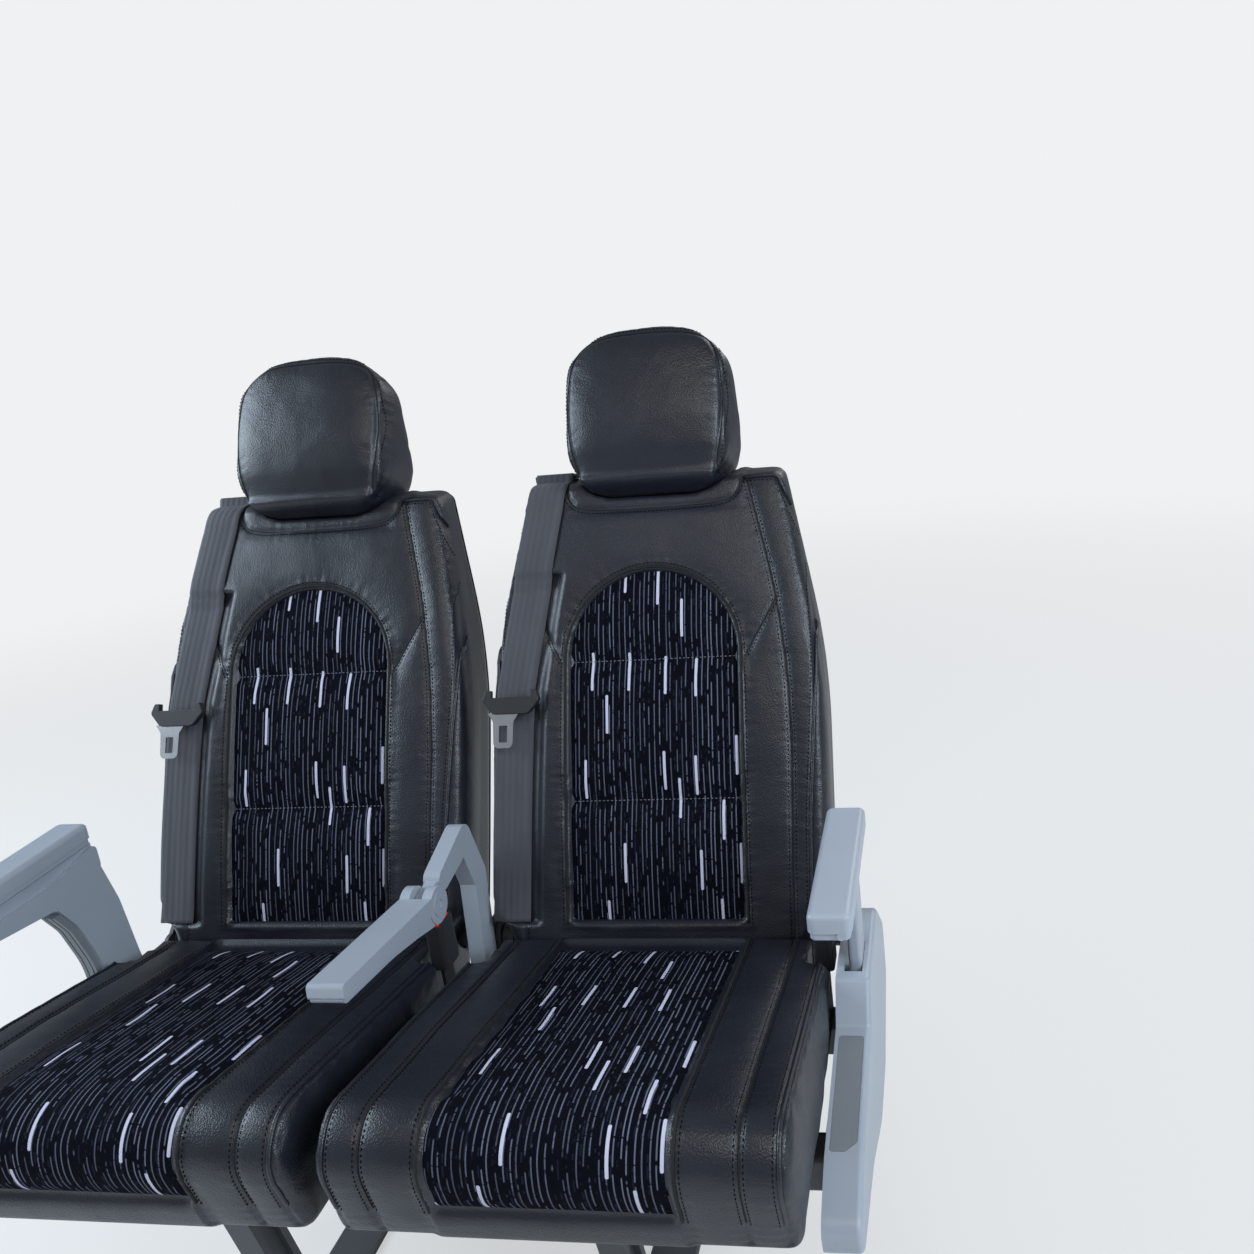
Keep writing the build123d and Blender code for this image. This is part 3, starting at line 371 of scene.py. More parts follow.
def treeOf(mesh):
    mesh.calc_loop_triangles()
    return BVHTree.FromPolygons([v.co for v in mesh.vertices], [t.vertices for t in mesh.loop_triangles])


lineStep = 0.004


def smoothed(points):
    # an even row of points on a smooth curve through the given ones
    p = [Vector(a) for a in points]
    p = [p[0] * 2 - p[1], *p, p[-1] * 2 - p[-2]]
    dense = []
    for a, b, c, d in zip(p, p[1:], p[2:], p[3:]):
        for k in range(24):
            t = k / 24
            dense.append(0.5 * (2 * b + (c - a) * t + (2 * a - 5 * b + 4 * c - d) * t * t
                                + (3 * b - a - 3 * c + d) * t ** 3))
    dense.append(p[-2])
    return evenly(dense)


def evenly(points, step=lineStep):
    lengths = np.cumsum([0.0] + [(b - a).length for a, b in zip(points, points[1:])])
    wanted = np.linspace(0, lengths[-1], max(2, int(lengths[-1] / step) + 1))
    flat = np.array([tuple(v) for v in points])
    columns = [np.interp(wanted, lengths, flat[:, k]) for k in range(flat.shape[1])]
    return [Vector(row) for row in zip(*columns)]


def distanceTo(flat, line):
    # of flat points from a line, and how far along it the nearest place lies
    best = np.full(len(flat), 9.0)
    along = np.zeros(len(flat))
    run = 0.0
    for a, b in zip(line, line[1:]):
        start, way = np.array(a[:2]), np.array(b[:2]) - np.array(a[:2])
        length = float(np.linalg.norm(way))
        t = np.clip(((flat - start) @ way) / length ** 2, 0, 1)
        gap = np.linalg.norm(flat - start - t[:, None] * way, axis=1)
        nearer = gap < best
        best = np.where(nearer, gap, best)
        along = np.where(nearer, run + t * length, along)
        run += length
    return best, along


def waysOf(line):
    # the way on at each of its points
    return [(b - a).normalized() for a, b in zip([line[0], *line], [*line[1:], line[-1]])]


def beside(line, gap):
    # a flat line moved to its left
    return [Vector((p.x - way.y * gap, p.y + way.x * gap)) for p, way in zip(line, waysOf(line))]


def step01(value, low, high):
    t = np.clip((value - low) / (high - low), 0, 1)
    return t * t * (3 - 2 * t)


def bell(gap, width):
    return np.exp(-(gap / width) ** 2)


def rumples(points, *layers):
    # soft unevenness, each layer with its stretch, size, height and seed
    total = np.zeros(len(points))
    for stretch, size, height, seed in layers:
        shift = Vector((seed, 0, 0))
        total += np.array([noise.noise(Vector(p) / size + shift) for p in points * stretch]) * height
    return total


def folded(points):
    # flat places with one side of the middle laid on the other
    return np.stack([np.abs(points[:, 0]), points[:, 1]], axis=1)


# Cloth: pressure swells a shape from a held start

swelling = {"steps": 20, "quality": 4, "mass": 0.3}


def clothJob(mesh, held, look):
    obj = linked(mesh, "swelling")
    group = obj.vertex_groups.new(name="held")
    group.add([int(i) for i in np.flatnonzero(held)], 1.0, "REPLACE")
    cloth = obj.modifiers.new("cloth", "CLOTH")
    s = cloth.settings
    s.quality = swelling["quality"]
    s.mass = swelling["mass"]
    s.tension_stiffness = s.compression_stiffness = look["stiff"]
    s.shear_stiffness = look["stiff"] / 2
    s.bending_stiffness = look["bend"]
    s.use_pressure = True
    s.uniform_pressure_force = look["pressure"]
    s.effector_weights.gravity = 0.0
    s.vertex_group_mass = "held"
    s.pin_stiffness = 1.0
    cloth.collision_settings.use_collision = False
    cloth.point_cache.frame_end = swelling["steps"]
    return {"obj": obj, "start": places(mesh), "cap": look["cap"]}


def runCloth(jobs):
    # steps every job together, then caps how far each point has moved and adds one subdivision
    for step in range(swelling["steps"]):
        bpy.context.scene.frame_set(step + 1)
    made = {}
    for name, job in jobs.items():
        mesh = frozen(job["obj"])
        moved = places(mesh) - job["start"]
        far = np.linalg.norm(moved, axis=1, keepdims=True) + 1e-9
        print("  swell", name, len(mesh.vertices), "mean and most in mm",
              round(float(far.mean()) * 1000, 2), round(float(far.max()) * 1000, 2))
        setPlaces(mesh, job["start"] + moved * job["cap"] * np.tanh(far / job["cap"]) / far)
        made[name] = modified(mesh, "SUBSURF", levels=1, render_levels=1)
    bpy.context.scene.frame_set(1)
    return made


def remeshed(mesh, voxel, smallerBy, tight):
    # tight says which points stay where they are, because something fits against them
    out = modified(mesh, "REMESH", mode="VOXEL", voxel_size=voxel, adaptivity=0.0, use_smooth_shade=True)
    p = places(out)
    setPlaces(out, p - normals(out) * (smallerBy * (1 - tight(p)))[:, None])
    return out


# The back's lines, in metres: across from the seat's middle, up the back

back = {
    "double": smoothed([(0.122, 0.562), (0.158, 0.400), (0.172, 0.255), (0.169, 0.073), (0.168, -0.030)]),
    "outer": smoothed([(0.164, 0.556), (0.194, 0.471), (0.2045, 0.341), (0.1995, 0.234), (0.193, 0.133),
                       (0.190, 0.020)]),
    "diagonal": smoothed([(0.159, 0.405), (0.140, 0.371), (0.119, 0.335)]),
    "yoke": smoothed([(-0.116, 0.562), (-0.110, 0.543), (-0.092, 0.531), (-0.040, 0.5275), (0.040, 0.5275),
                      (0.092, 0.531), (0.110, 0.543), (0.116, 0.562)]),
    "channels": (0.160, 0.333),
    "archHalf": 0.1115, "archTop": 0.449, "archLow": 0.012,
    "beltS": (0.0, 0.300, 0.565), "beltX": (-0.189, -0.180, -0.139),
}


def archLine(grow):
    r = back["archHalf"] + grow
    top = back["archTop"] - back["archHalf"]
    bow = [(-r * cos(a), top + r * sin(a)) for a in np.linspace(0, pi, 40)[1:-1]]
    corners = [(-r, back["archLow"]), (-r, top), *bow, (r, top), (r, back["archLow"])]
    return evenly([Vector(place) for place in corners])


def inArch(flat, grow):
    r = back["archHalf"] + grow
    top = back["archTop"] - back["archHalf"]
    x, s = flat[:, 0], flat[:, 1]
    bow = (s > top) & (np.hypot(x, s - top) < r)
    return bow | ((np.abs(x) < r) & (s <= top) & (s > back["archLow"] - grow))


creasing = {"depth": 0.0024, "width": 0.0030, "dip": 0.0014, "spread": 0.012, "pucker": 0.00020,
            "puckerStep": 0.013, "puckerReach": 0.008}


def crease(points, outward, flat, lines, where, **own):
    # presses seams into a surface, with a soft dip and small puckers beside them
    look = {**creasing, **own}
    reach = look["puckerReach"]
    down = np.zeros(len(points))
    for k, line in enumerate(lines):
        gap, along = distanceTo(flat, line)
        ripple = np.sin(along * 2 * pi / look["puckerStep"] + 2.2 * np.sin(along * 37 + k))
        ripple *= np.sin(along * 61 + 1.7 * k)
        seam = look["depth"] * bell(gap, look["width"]) + look["dip"] * bell(gap, look["spread"])
        down = np.maximum(down, seam + look["pucker"] * ripple * bell(gap - reach, reach))
    return points - outward * (down * where)[:, None]


# Backs

def makeBackSoft():
    look = {"voxel": 0.006, "smallerBy": 0.0022, "cap": 0.0052, "pressure": 4.0, "stiff": 15.0, "bend": 0.6,
            "archTight": 0.006, "slotTight": (0.119, 0.526), "slotHeld": (0.118, 0.530), "seamHeld": 0.004,
            "footHeld": 0.030, "rearHeld": -0.050, "shoulderHeld": (0.150, 0.550, -0.02)}

    def inSlot(p, half, low):
        return (np.abs(p[:, 0]) < half) & (p[:, 1] > low)

    def tight(p):
        return np.where(inSlot(p, *look["slotTight"]) | inArch(p[:, :2], look["archTight"]), 1.0, 0.0)

    mesh = remeshed(cadCopy("backrest", backPlace), look["voxel"], look["smallerBy"], tight)
    p = places(mesh)
    gap = np.minimum.reduce([distanceTo(folded(p), back[k])[0] for k in ("double", "outer", "diagonal")])
    held = (gap < look["seamHeld"]) | inArch(p[:, :2], look["seamHeld"]) | inSlot(p, *look["slotHeld"])
    held |= (p[:, 1] < look["footHeld"]) | (p[:, 2] < look["rearHeld"])
    x, s, n = look["shoulderHeld"]
    held |= (np.abs(p[:, 0]) > x) & (p[:, 1] > s) & (p[:, 2] > n)
    return clothJob(mesh, held, look)


def finishBack(mesh, front):
    look = {"facing": (-0.030, -0.014), "beltHalf": 0.046, "beltSoft": 0.016, "beltTop": 0.545,
            "press": 0.0008, "edge": 0.004, "room": 0.003, "rear": -0.03,
            "padding": (((1, 1, 0.6), 0.060, 0.0011, 3.0), ((1, 1, 1), 0.022, 0.00035, 8.0))}
    p = places(mesh)
    out = normals(mesh)
    flat = folded(p)
    facing = step01(p[:, 2], *look["facing"])
    # the belt presses the bolster flat under it
    beltX = np.interp(p[:, 1], back["beltS"], back["beltX"])
    under = step01(look["beltHalf"] - np.abs(p[:, 0] - beltX), 0.0, look["beltSoft"]) * facing
    under *= p[:, 1] < look["beltTop"]
    rise = np.interp(p[:, 1], front[0], front[1]) - look["press"]
    p[:, 2] += under * np.minimum(rise - p[:, 2], 0)
    # soft unevenness of the padding, and room for the fabric's own channels
    inside = inArch(p[:, :2], look["edge"])
    p += out * (rumples(p, *look["padding"]) * facing * (1 - under) * (1 - inside))[:, None]
    p[:, 2] -= look["room"] * inArch(p[:, :2], -look["edge"]) * (p[:, 2] > look["rear"])
    arch = archLine(0.002)
    arch = [Vector((abs(v.x), v.y)) for v in arch[:len(arch) // 2 + 1]]
    p = crease(p, out, flat, [back["double"], back["diagonal"]], facing)
    p = crease(p, out, flat, [back["outer"]], facing, depth=0.0018, dip=0.0008)
    p = crease(p, out, p[:, :2], [back["yoke"]], facing, depth=0.0022)
    outside = 1 - inArch(p[:, :2], 0.0)
    p = crease(p, out, flat, [arch], facing * outside, depth=0.0008, dip=0.0012, spread=0.016, pucker=0.0003)
    setPlaces(mesh, p)


def frontHeights(name):
    # heights of a back node's front, on its middle line or beside it where that is open
    tree = treeOf(cadCopy(name, backPlace))
    rows = []
    for s in np.arange(-0.005, 0.560, 0.005):
        for x in (0.0, 0.14):
            hit = tree.ray_cast(Vector((x, s, 0.2)), Vector((0, 0, -1)))[0]
            if hit:
                rows.append((s, hit.z))
                break
    return np.array(rows).T


# Fabric panels: closed pillows on an even grid, U across and V along in metres

def pillow(rows, columns, point, under, name):
    # point and under give the place and the (u, v) for a row and a column, on the two sides
    verts, faces, cloth = [], [], []
    count = len(columns)
    for side in (point, under):
        for r in rows:
            for c in columns:
                place, uv = side(r, c)
                verts.append(place)
                cloth.append(uv)
    size = len(rows) * count
    for i in range(len(rows) - 1):
        for j in range(count - 1):
            a = i * count + j
            faces.append((a, a + 1, a + count + 1, a + count))
            faces.append((size + a, size + a + count, size + a + count + 1, size + a + 1))
    rim = list(range(count)) + [i * count + count - 1 for i in range(1, len(rows))]
    rim += [(len(rows) - 1) * count + j for j in range(count - 2, -1, -1)]
    rim += [i * count for i in range(len(rows) - 2, 0, -1)]
    for a, b in zip(rim, rim[1:] + rim[:1]):
        faces.append((b, a, size + a, size + b))
    mesh = bpy.data.meshes.new(name)
    mesh.from_pydata(verts, [], faces)
    layer = mesh.uv_layers.new(name="cloth")
    for loop in mesh.loops:
        layer.data[loop.index].uv = cloth[loop.vertex_index]
    mesh.validate()
    return mesh, size


def makeBackPanel(front):
    look = {"cap": 0.0085, "pressure": 4.5, "stiff": 12.0, "bend": 0.3, "step": 0.0042, "columns": 55,
            "bow": 30, "inset": 0.0006, "edgeDrop": 0.0025, "edge": 0.010, "thick": 0.004, "sunk": 0.0030,
            "channelDrop": 0.0042, "channel": 0.006, "rimHeld": 0.0035, "seamHeld": 0.0032}
    half, top = (back[k] - look["inset"] for k in ("archHalf", "archTop"))
    low, knee = back["archLow"] + look["inset"], top - half
    bow = [knee + half * sin(a) for a in np.linspace(0, pi / 2 - 0.09, look["bow"])]
    rows = [*np.arange(low, knee, look["step"]), *bow]
    columns = list(np.linspace(-1, 1, look["columns"]))

    def widthAt(s):
        return half if s <= knee else sqrt(max(half ** 2 - (s - knee) ** 2, 1e-6))

    def edgeGap(x, s):
        across = widthAt(s) - abs(x)
        return min(across, s - low, half - sqrt(x * x + (s - knee) ** 2) if s > knee else 1.0)

    def height(x, s):
        drop = look["edgeDrop"] * max(0.0, 1 - edgeGap(x, s) / look["edge"]) ** 2
        for seam in back["channels"]:
            drop += look["channelDrop"] * bell(s - seam, look["channel"])
        return float(np.interp(s, front[0], front[1])) - look["sunk"] - drop

    def side(down):
        def place(s, c):
            x = widthAt(s) * c
            return (x, s, height(x, s) - down), (x, s)
        return place

    mesh, size = pillow(rows, columns, side(0.0), side(look["thick"]), "backPanel")
    p = places(mesh)
    held = np.array([i >= size or edgeGap(q[0], q[1]) < look["rimHeld"] for i, q in enumerate(p)])
    for seam in back["channels"]:
        held |= np.abs(p[:, 1] - seam) < look["seamHeld"]
    return clothJob(mesh, held, look)


def finishBackPanel(mesh):
    look = {"facing": (0.2, 0.6), "gather": 0.0010, "gatherStep": 0.019, "gatherReach": 0.010,
            "folds": ((1, 0.55, 1), 0.030, 0.0012, 5.0)}
    p = places(mesh)
    out = normals(mesh)
    x, reach = p[:, 0], look["gatherReach"]
    gathered = np.zeros(len(p))
    for k, seam in enumerate(back["channels"]):
        ripple = np.sin(x * 2 * pi / look["gatherStep"] + 2.0 * np.sin(x * 43 + k))
        ripple *= 0.6 + 0.4 * np.sin(x * 91)
        gathered += ripple * bell(np.abs(p[:, 1] - seam) - reach, reach) * look["gather"]
    facing = step01(out[:, 2], *look["facing"])
    setPlaces(mesh, p + out * ((gathered + rumples(p, look["folds"])) * facing)[:, None])


# Headrest: straight at the foot, where it fills its slot, and barrelled above

head = {
    "s": (0.545, 0.560, 0.574, 0.598, 0.645, 0.700, 0.740, 0.765),
    "half": (0.1050, 0.1046, 0.1015, 0.1085, 0.1145, 0.1115, 0.1030, 0.0940),
    "solidS": (0.545, 0.765), "solidHalf": (0.106, 0.099),
    "leanS": (0.552, 0.574, 0.600, 0.635), "lean": (1.0, 0.66, 0.88, 1.0),
    "seam": ((0.088, 0.550), (0.092, 0.580), (0.098, 0.610), (0.1015, 0.645), (0.1000, 0.680),
             (0.0970, 0.704), (0.0900, 0.726), (0.0760, 0.740), (0.0520, 0.7465), (0.0200, 0.7490)),
    "crown": 0.013, "middle": 0.665, "reach": 0.112, "arch": 0.012, "lip": 0.003,
}


def headOutline():
    # the seam round the front panel, from foot to foot
    return smoothed([*head["seam"], *[(-x, s) for x, s in reversed(head["seam"])]])


def makeHeadSoft():
    look = {"voxel": 0.005, "smallerBy": 0.0010, "cap": 0.0075, "pressure": 4.5, "stiff": 12.0, "bend": 0.4,
            "rounding": 40, "seamHeld": 0.0035, "footHeld": 0.552, "rearHeld": (-0.040, 0.60)}
    shape = cadCopy("headrest", backPlace)
    p = places(shape)
    solidHalf = np.interp(p[:, 1], head["solidS"], head["solidHalf"])
    p[:, 0] *= np.interp(p[:, 1], head["s"], head["half"]) / solidHalf
    setPlaces(shape, p)
    mesh = remeshed(shape, look["voxel"], look["smallerBy"], lambda p: 1 - step01(p[:, 1], 0.556, 0.580))
    # edges rounded away from the foot, then the top arched and the front crowned
    p = places(mesh)
    rounder = places(modified(mesh.copy(), "SMOOTH", factor=0.5, iterations=look["rounding"]))
    p += (rounder - p) * step01(p[:, 1], 0.562, 0.600)[:, None]
    across = np.clip(np.abs(p[:, 0]) / np.interp(p[:, 1], head["s"], head["half"]), 0, 1)
    p[:, 1] -= head["arch"] * across ** 2 * step01(p[:, 1], 0.66, 0.76)
    p[:, 2] *= np.where(p[:, 2] > 0, np.interp(p[:, 1], head["leanS"], head["lean"]), 1.0)
    upward = np.clip(np.abs(p[:, 1] - head["middle"]) / head["reach"], 0, 1)
    p[:, 1] -= head["lip"] * step01(p[:, 2], 0.004, 0.022) * (1 - step01(p[:, 1], 0.570, 0.640))
    p[:, 2] += head["crown"] * (1 - across ** 2.4) * (1 - upward ** 2.2) * step01(p[:, 2], 0.0, 0.02)
    setPlaces(mesh, p)
    p = places(mesh)
    held = (distanceTo(p[:, :2], headOutline())[0] < look["seamHeld"]) & (p[:, 2] > 0.004)
    n, s = look["rearHeld"]
    held |= (p[:, 1] < look["footHeld"]) | ((p[:, 2] < n) & (p[:, 1] < s))
    return clothJob(mesh, held, look)


def finishHead(mesh):
    look = {"padding": (((1, 1, 1), 0.045, 0.0009, 21.0), ((1, 1, 1), 0.016, 0.00025, 4.0))}
    p = places(mesh)
    out = normals(mesh)
    p += out * rumples(p, *look["padding"])[:, None]
    facing = step01(p[:, 2], 0.0, 0.008)
    setPlaces(mesh, crease(p, out, p[:, :2], [headOutline()], facing, depth=0.0020, dip=0.0005))


# Seat cushion

cushion = {"double": 0.172, "outer": 0.207, "panel": 0.115, "middle": (-0.150, 0.380), "pathStep": 0.0042}


def makeCushionSoft():
    look = {"voxel": 0.006, "smallerBy": 0.0025, "cap": 0.0075, "pressure": 4.0, "stiff": 15.0, "bend": 0.6,
            "panelTight": 0.006, "seamHeld": 0.004, "rearHeld": 0.020, "cornerHeld": (-0.030, 0.190)}
    mesh = remeshed(cadCopy("seat_cushion", rowPlace), look["voxel"], look["smallerBy"],
                    lambda p: np.where(np.abs(p[:, 0]) < cushion["panel"] + look["panelTight"], 1.0, 0.0))
    p = places(mesh)
    x, y, top = np.abs(p[:, 0]), p[:, 1], normals(mesh)[:, 2]
    held = (np.abs(x - cushion["double"]) < look["seamHeld"]) | (x < cushion["panel"] + look["seamHeld"])
    held |= (np.abs(x - cushion["outer"]) < look["seamHeld"]) & (top > 0.1)
    rear, aside = look["cornerHeld"]
    held |= (y > look["rearHeld"]) | (top < -0.5) | ((y > rear) & (x > aside))
    return clothJob(mesh, held, look)


def finishCushion(mesh):
    look = {"padding": (((1, 1, 1), 0.070, 0.0012, 31.0), ((1, 1, 1), 0.024, 0.0004, 6.0)),
            "sides": ((1, 1.6, 0.5), 0.035, 0.0016, 17.0), "sideAt": (0.212, 0.218), "sideLow": 0.372,
            "nose": (0.330, 0.500), "reach": (-0.050, 0.480), "panelGap": 0.0015}
    p = places(mesh)
    out = normals(mesh)
    x = np.abs(p[:, 0])
    # a stand-in for the length along the top and down the front
    nose, high = look["nose"]
    along = np.where(p[:, 1] > -nose, -p[:, 1], nose + (high - p[:, 2]))
    flat = np.stack([x, along], axis=1)
    seen = step01(out[:, 2] - out[:, 1], 0.15, 0.5) * step01(0.040 - p[:, 1], 0.0, 0.02)
    side = step01(x, *look["sideAt"])
    swell = rumples(p, *look["padding"]) + side * rumples(p, look["sides"])
    p += out * (swell * np.maximum(seen, side * (p[:, 2] > look["sideLow"])))[:, None]

    def straight(at):
        return [Vector((at, reach)) for reach in look["reach"]]

    p = crease(p, out, flat, [straight(cushion["double"])], seen)
    p = crease(p, out, flat, [straight(cushion["outer"])], seen, depth=0.0018, dip=0.0006)
    p = crease(p, out, flat, [straight(cushion["panel"] + look["panelGap"])], seen * (x > cushion["panel"]),
               depth=0.0008, dip=0.0014, spread=0.016)
    setPlaces(mesh, p)


def aroundCushion(tree, x, first, last, count):
    # places and normals at a constant x, from the crease over the top and down the front
    y, z = cushion["middle"]
    for angle in np.linspace(first, last, count):
        way = Vector((0, cos(radians(angle)), sin(radians(angle))))
        hit, normal = tree.ray_cast(Vector((x, y, z)) + way * 0.6, -way)[:2]
        if hit:
            yield hit, normal


def seatPath(name):
    # outer profile of a cushion node on its middle line
    found = aroundCushion(treeOf(cadCopy(name, rowPlace)), 0.0005, 17.0, 172.0, 300)
    return evenly([Vector((0, hit.y, hit.z)) for hit, normal in found], cushion["pathStep"])


def makeSeatPanel(path):
    look = {"cap": 0.0075, "pressure": 4.0, "stiff": 12.0, "bend": 0.3, "columns": 56, "inset": 0.0006,
            "edgeDrop": 0.0040, "edge": 0.010, "sunk": 0.0035, "thick": 0.004, "rimHeld": 0.0035}
    half, step = cushion["panel"] - look["inset"], cushion["pathStep"]
    columns = list(np.linspace(half, -half, look["columns"]))    # so that the faces point up
    rows = list(range(len(path)))
    total = (len(path) - 1) * step
    outward = []
    for way in waysOf(path):
        turn = 1 if way.y < 0 or way.z < 0 else -1
        outward.append(Vector((0, turn * way.z, -turn * way.y)))

    def edgeGap(i, x):
        return min(half - abs(x), i * step + 0.001, total - i * step)

    def side(down):
        def place(i, x):
            drop = look["edgeDrop"] * max(0.0, 1 - edgeGap(i, x) / look["edge"]) ** 2 + look["sunk"] + down
            q = path[i] - outward[i] * drop
            return (x, q.y, q.z), (x, total - i * step)
        return place

    mesh, size = pillow(rows, columns, side(0.0), side(look["thick"]), "seatPanel")
    count = len(columns)
    held = np.array([k >= size or edgeGap(k // count, columns[k % count]) < look["rimHeld"]
                     for k in range(len(mesh.vertices))])
    return clothJob(mesh, held, look)


def finishSeatPanel(mesh):
    look = {"facing": (0.3, 0.7), "folds": ((0.7, 1, 1), 0.036, 0.0013, 12.0)}
    p = places(mesh)
    out = normals(mesh)
    facing = step01(out[:, 2] - out[:, 1], *look["facing"])
    setPlaces(mesh, p + out * (rumples(p, look["folds"]) * facing)[:, None])


print("cloth")
frontLine = frontHeights("backrest")
soft = runCloth({
    "back": makeBackSoft(),
    "backPanel": makeBackPanel(frontHeights("back_insert")),
    "head": makeHeadSoft(),
    "cushion": makeCushionSoft(),
    "seatPanel": makeSeatPanel(seatPath("seat_insert")),
})
print("shapes")
finishBack(soft["back"], frontLine)
finishBackPanel(soft["backPanel"])
finishHead(soft["head"])
finishCushion(soft["cushion"])
finishSeatPanel(soft["seatPanel"])
for mesh in soft.values():
    mesh.shade_smooth()


def settle(mesh, name, seat, place, body, slotName, nodes=(), finish=None):
    # one seat's own copy, in the row frame, riding its body and standing for its nodes
    own = mesh.copy()
    own.transform(Matrix.Translation((seats[seat], 0, 0)) @ place)
    own.materials.clear()
    own.materials.append(finish or finishes[slotName])
    obj = linked(own, f"{name}_{seat}")
    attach(obj, body)
    if nodes:
        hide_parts(*[f"{node}_{seat}" for node in nodes])
    return obj


for seat, body in backBody.items():
    settle(soft["back"], "backUpholstery", seat, backPlace, body, "leatherette", ["backrest"])
    settle(soft["backPanel"], "backFabric", seat, backPlace, body, "stripe_fabric", ["back_insert"])
    settle(soft["head"], "headCushion", seat, backPlace, body, "leatherette", ["headrest"])
    settle(soft["cushion"], "seatUpholstery", seat, rowPlace, "frame", "leatherette", ["seat_cushion"])
    settle(soft["seatPanel"], "seatFabric", seat, rowPlace, "frame", "stripe_fabric", ["seat_insert"])


# Seams: stitches by Geometry Nodes on rows of points, piping and welts as tubes, and thin dark tubes down
# the seam lines as painted shade in their creases

class Group(Graph):
    def __init__(self, name, shape, **sizes):
        # a Geometry Nodes tree that takes a shape, named sizes and a finish
        super().__init__(bpy.data.node_groups.new(name, "GeometryNodeTree"))
        self.face = self.tree.interface
        self.socket(shape, "Geometry")
        for key, value in sizes.items():
            self.socket(key, "Float").default_value = value
        self.socket("Finish", "Material")
        self.socket("Made", "Geometry", "OUTPUT")

    def socket(self, name, kind, way="INPUT"):
        return self.face.new_socket(name=name, in_out=way, socket_type="NodeSocket" + kind)

    def given(self, name):
        return self.node("NodeGroupInput", out=name)

    def finished(self, shape):
        real = self.node("GeometryNodeRealizeInstances", {}, [shape])
        values = {"Geometry": real, "Material": self.given("Finish")}
        painted = self.node("GeometryNodeSetMaterial", {}, values)
        self.tree.links.new(painted.socket, self.tree.nodes.new("NodeGroupOutput").inputs["Made"])
        return self.tree


def stitchTree():
    # a grain of thread at every pitch along each row, turned to follow it
    group = Group("stitches", "Rows", Pitch=0.0050, Length=0.0032, Radius=0.00062)
    line = group.node("GeometryNodeMeshToCurve", {}, {"Mesh": group.given("Rows")})
    even = group.node("GeometryNodeResampleCurve", {"mode": "LENGTH"},
                      {"Curve": line, "Length": group.given("Pitch")})
    ball = group.node("GeometryNodeMeshUVSphere", {}, {"Segments": 6, "Rings": 4, "Radius": 1.0})
    radius = group.given("Radius")
    sizes = group.node("CombineXYZ", {}, [radius, radius, group.given("Length") * 0.5])
    grain = group.node("GeometryNodeTransform", {}, {"Geometry": ball, "Scale": sizes})
    tangent = group.node("GeometryNodeInputTangent")
    turn = group.node("FunctionNodeAlignRotationToVector", {"axis": "Z"}, {"Vector": tangent})
    return group.finished(group.node("GeometryNodeInstanceOnPoints", {},
                                     {"Points": even, "Instance": grain, "Rotation": turn}))


def lineMesh(lines, name):
    verts, edges = [], []
    for line in lines:
        first = len(verts)
        verts += [tuple(p) for p in line]
        edges += [(first + i, first + i + 1) for i in range(len(line) - 1)]
    mesh = bpy.data.meshes.new(name)
    mesh.from_pydata(verts, edges, [])
    return mesh


def generated(mesh, tree, **values):
    obj = linked(mesh, "work")
    extra = obj.modifiers.new("nodes", "NODES")
    extra.node_group = tree
    for item in tree.interface.items_tree:
        if item.in_out == "INPUT" and item.name in values:
            extra[item.identifier] = values[item.name]
    return frozen(obj)


def tube(lines, radius, sides=8):
    verts, faces = [], []
    for line in lines:
        first = len(verts)
        side = None
        for p, way in zip(line, waysOf(line)):
            side = way.orthogonal() if side is None else side - way * side.dot(way)
            side = side.normalized()
            other = way.cross(side)
            for k in range(sides):
                a = 2 * pi * k / sides
                verts.append(p + (side * cos(a) + other * sin(a)) * radius)
        count = len(line)
        for i in range(count - 1):
            for k in range(sides):
                a, b = first + i * sides + k, first + i * sides + (k + 1) % sides
                faces.append((a, b, b + sides, a + sides))
        faces.append(tuple(first + k for k in reversed(range(sides))))
        faces.append(tuple(first + (count - 1) * sides + k for k in range(sides)))
    mesh = bpy.data.meshes.new("tube")
    mesh.from_pydata(verts, [], faces)
    mesh.shade_smooth()
    return mesh


def mirrored(line):
    return [Vector((-p.x, p.y)) for p in line]


def beltAt(s):
    return float(np.interp(s, back["beltS"], back["beltX"]))


# the thin tubes sunk into the seam lines are painted shade in each seam's crease
sewing = {
    "double": 0.0042, "outer": 0.0055, "diagonal": 0.0035, "yoke": 0.0045, "arch": 0.0062, "welt": 0.0012,
    "beltClear": 0.0235, "channelHalf": 0.108, "sideFirst": 24.0, "last": 172.0,
    "lift": {"rows": 0.0002, "channels": 0.0001, "pipes": 0.0006, "welts": 0.0001, "seamShades": -0.0001},
    "tube": {"pipes": (0.0023, 8), "welts": (0.0016, 8), "seamShades": (0.0009, 6)},
}
onBack = {kind: [] for kind in sewing["lift"]}
onSeat = {kind: [] for kind in sewing["lift"]}


def drape(tree, kind, line):
    # flat points put down on a shape of the back; a run ends where it misses or meets the belt
    runs, run = [], []
    for p in line:
        hit, normal = tree.ray_cast(Vector((p.x, p.y, 0.2)), Vector((0, 0, -1)))[:2]
        if hit and normal.z > 0.04 and abs(p.x - beltAt(p.y)) > sewing["beltClear"]:
            run.append(hit + normal * sewing["lift"][kind])
        elif run:
            runs.append(run)
            run = []
    onBack[kind] += [r for r in [*runs, run] if len(r) > 2]


def wrap(tree, kind, x, first=14.0):
    # a line at a constant x over the cushion
    out = []
    for hit, normal in aroundCushion(tree, x, first, sewing["last"], 240):
        if not out or (hit - out[-1]).length < 0.02:
            out.append(hit + normal * sewing["lift"][kind])
    onSeat[kind].append(evenly(out))


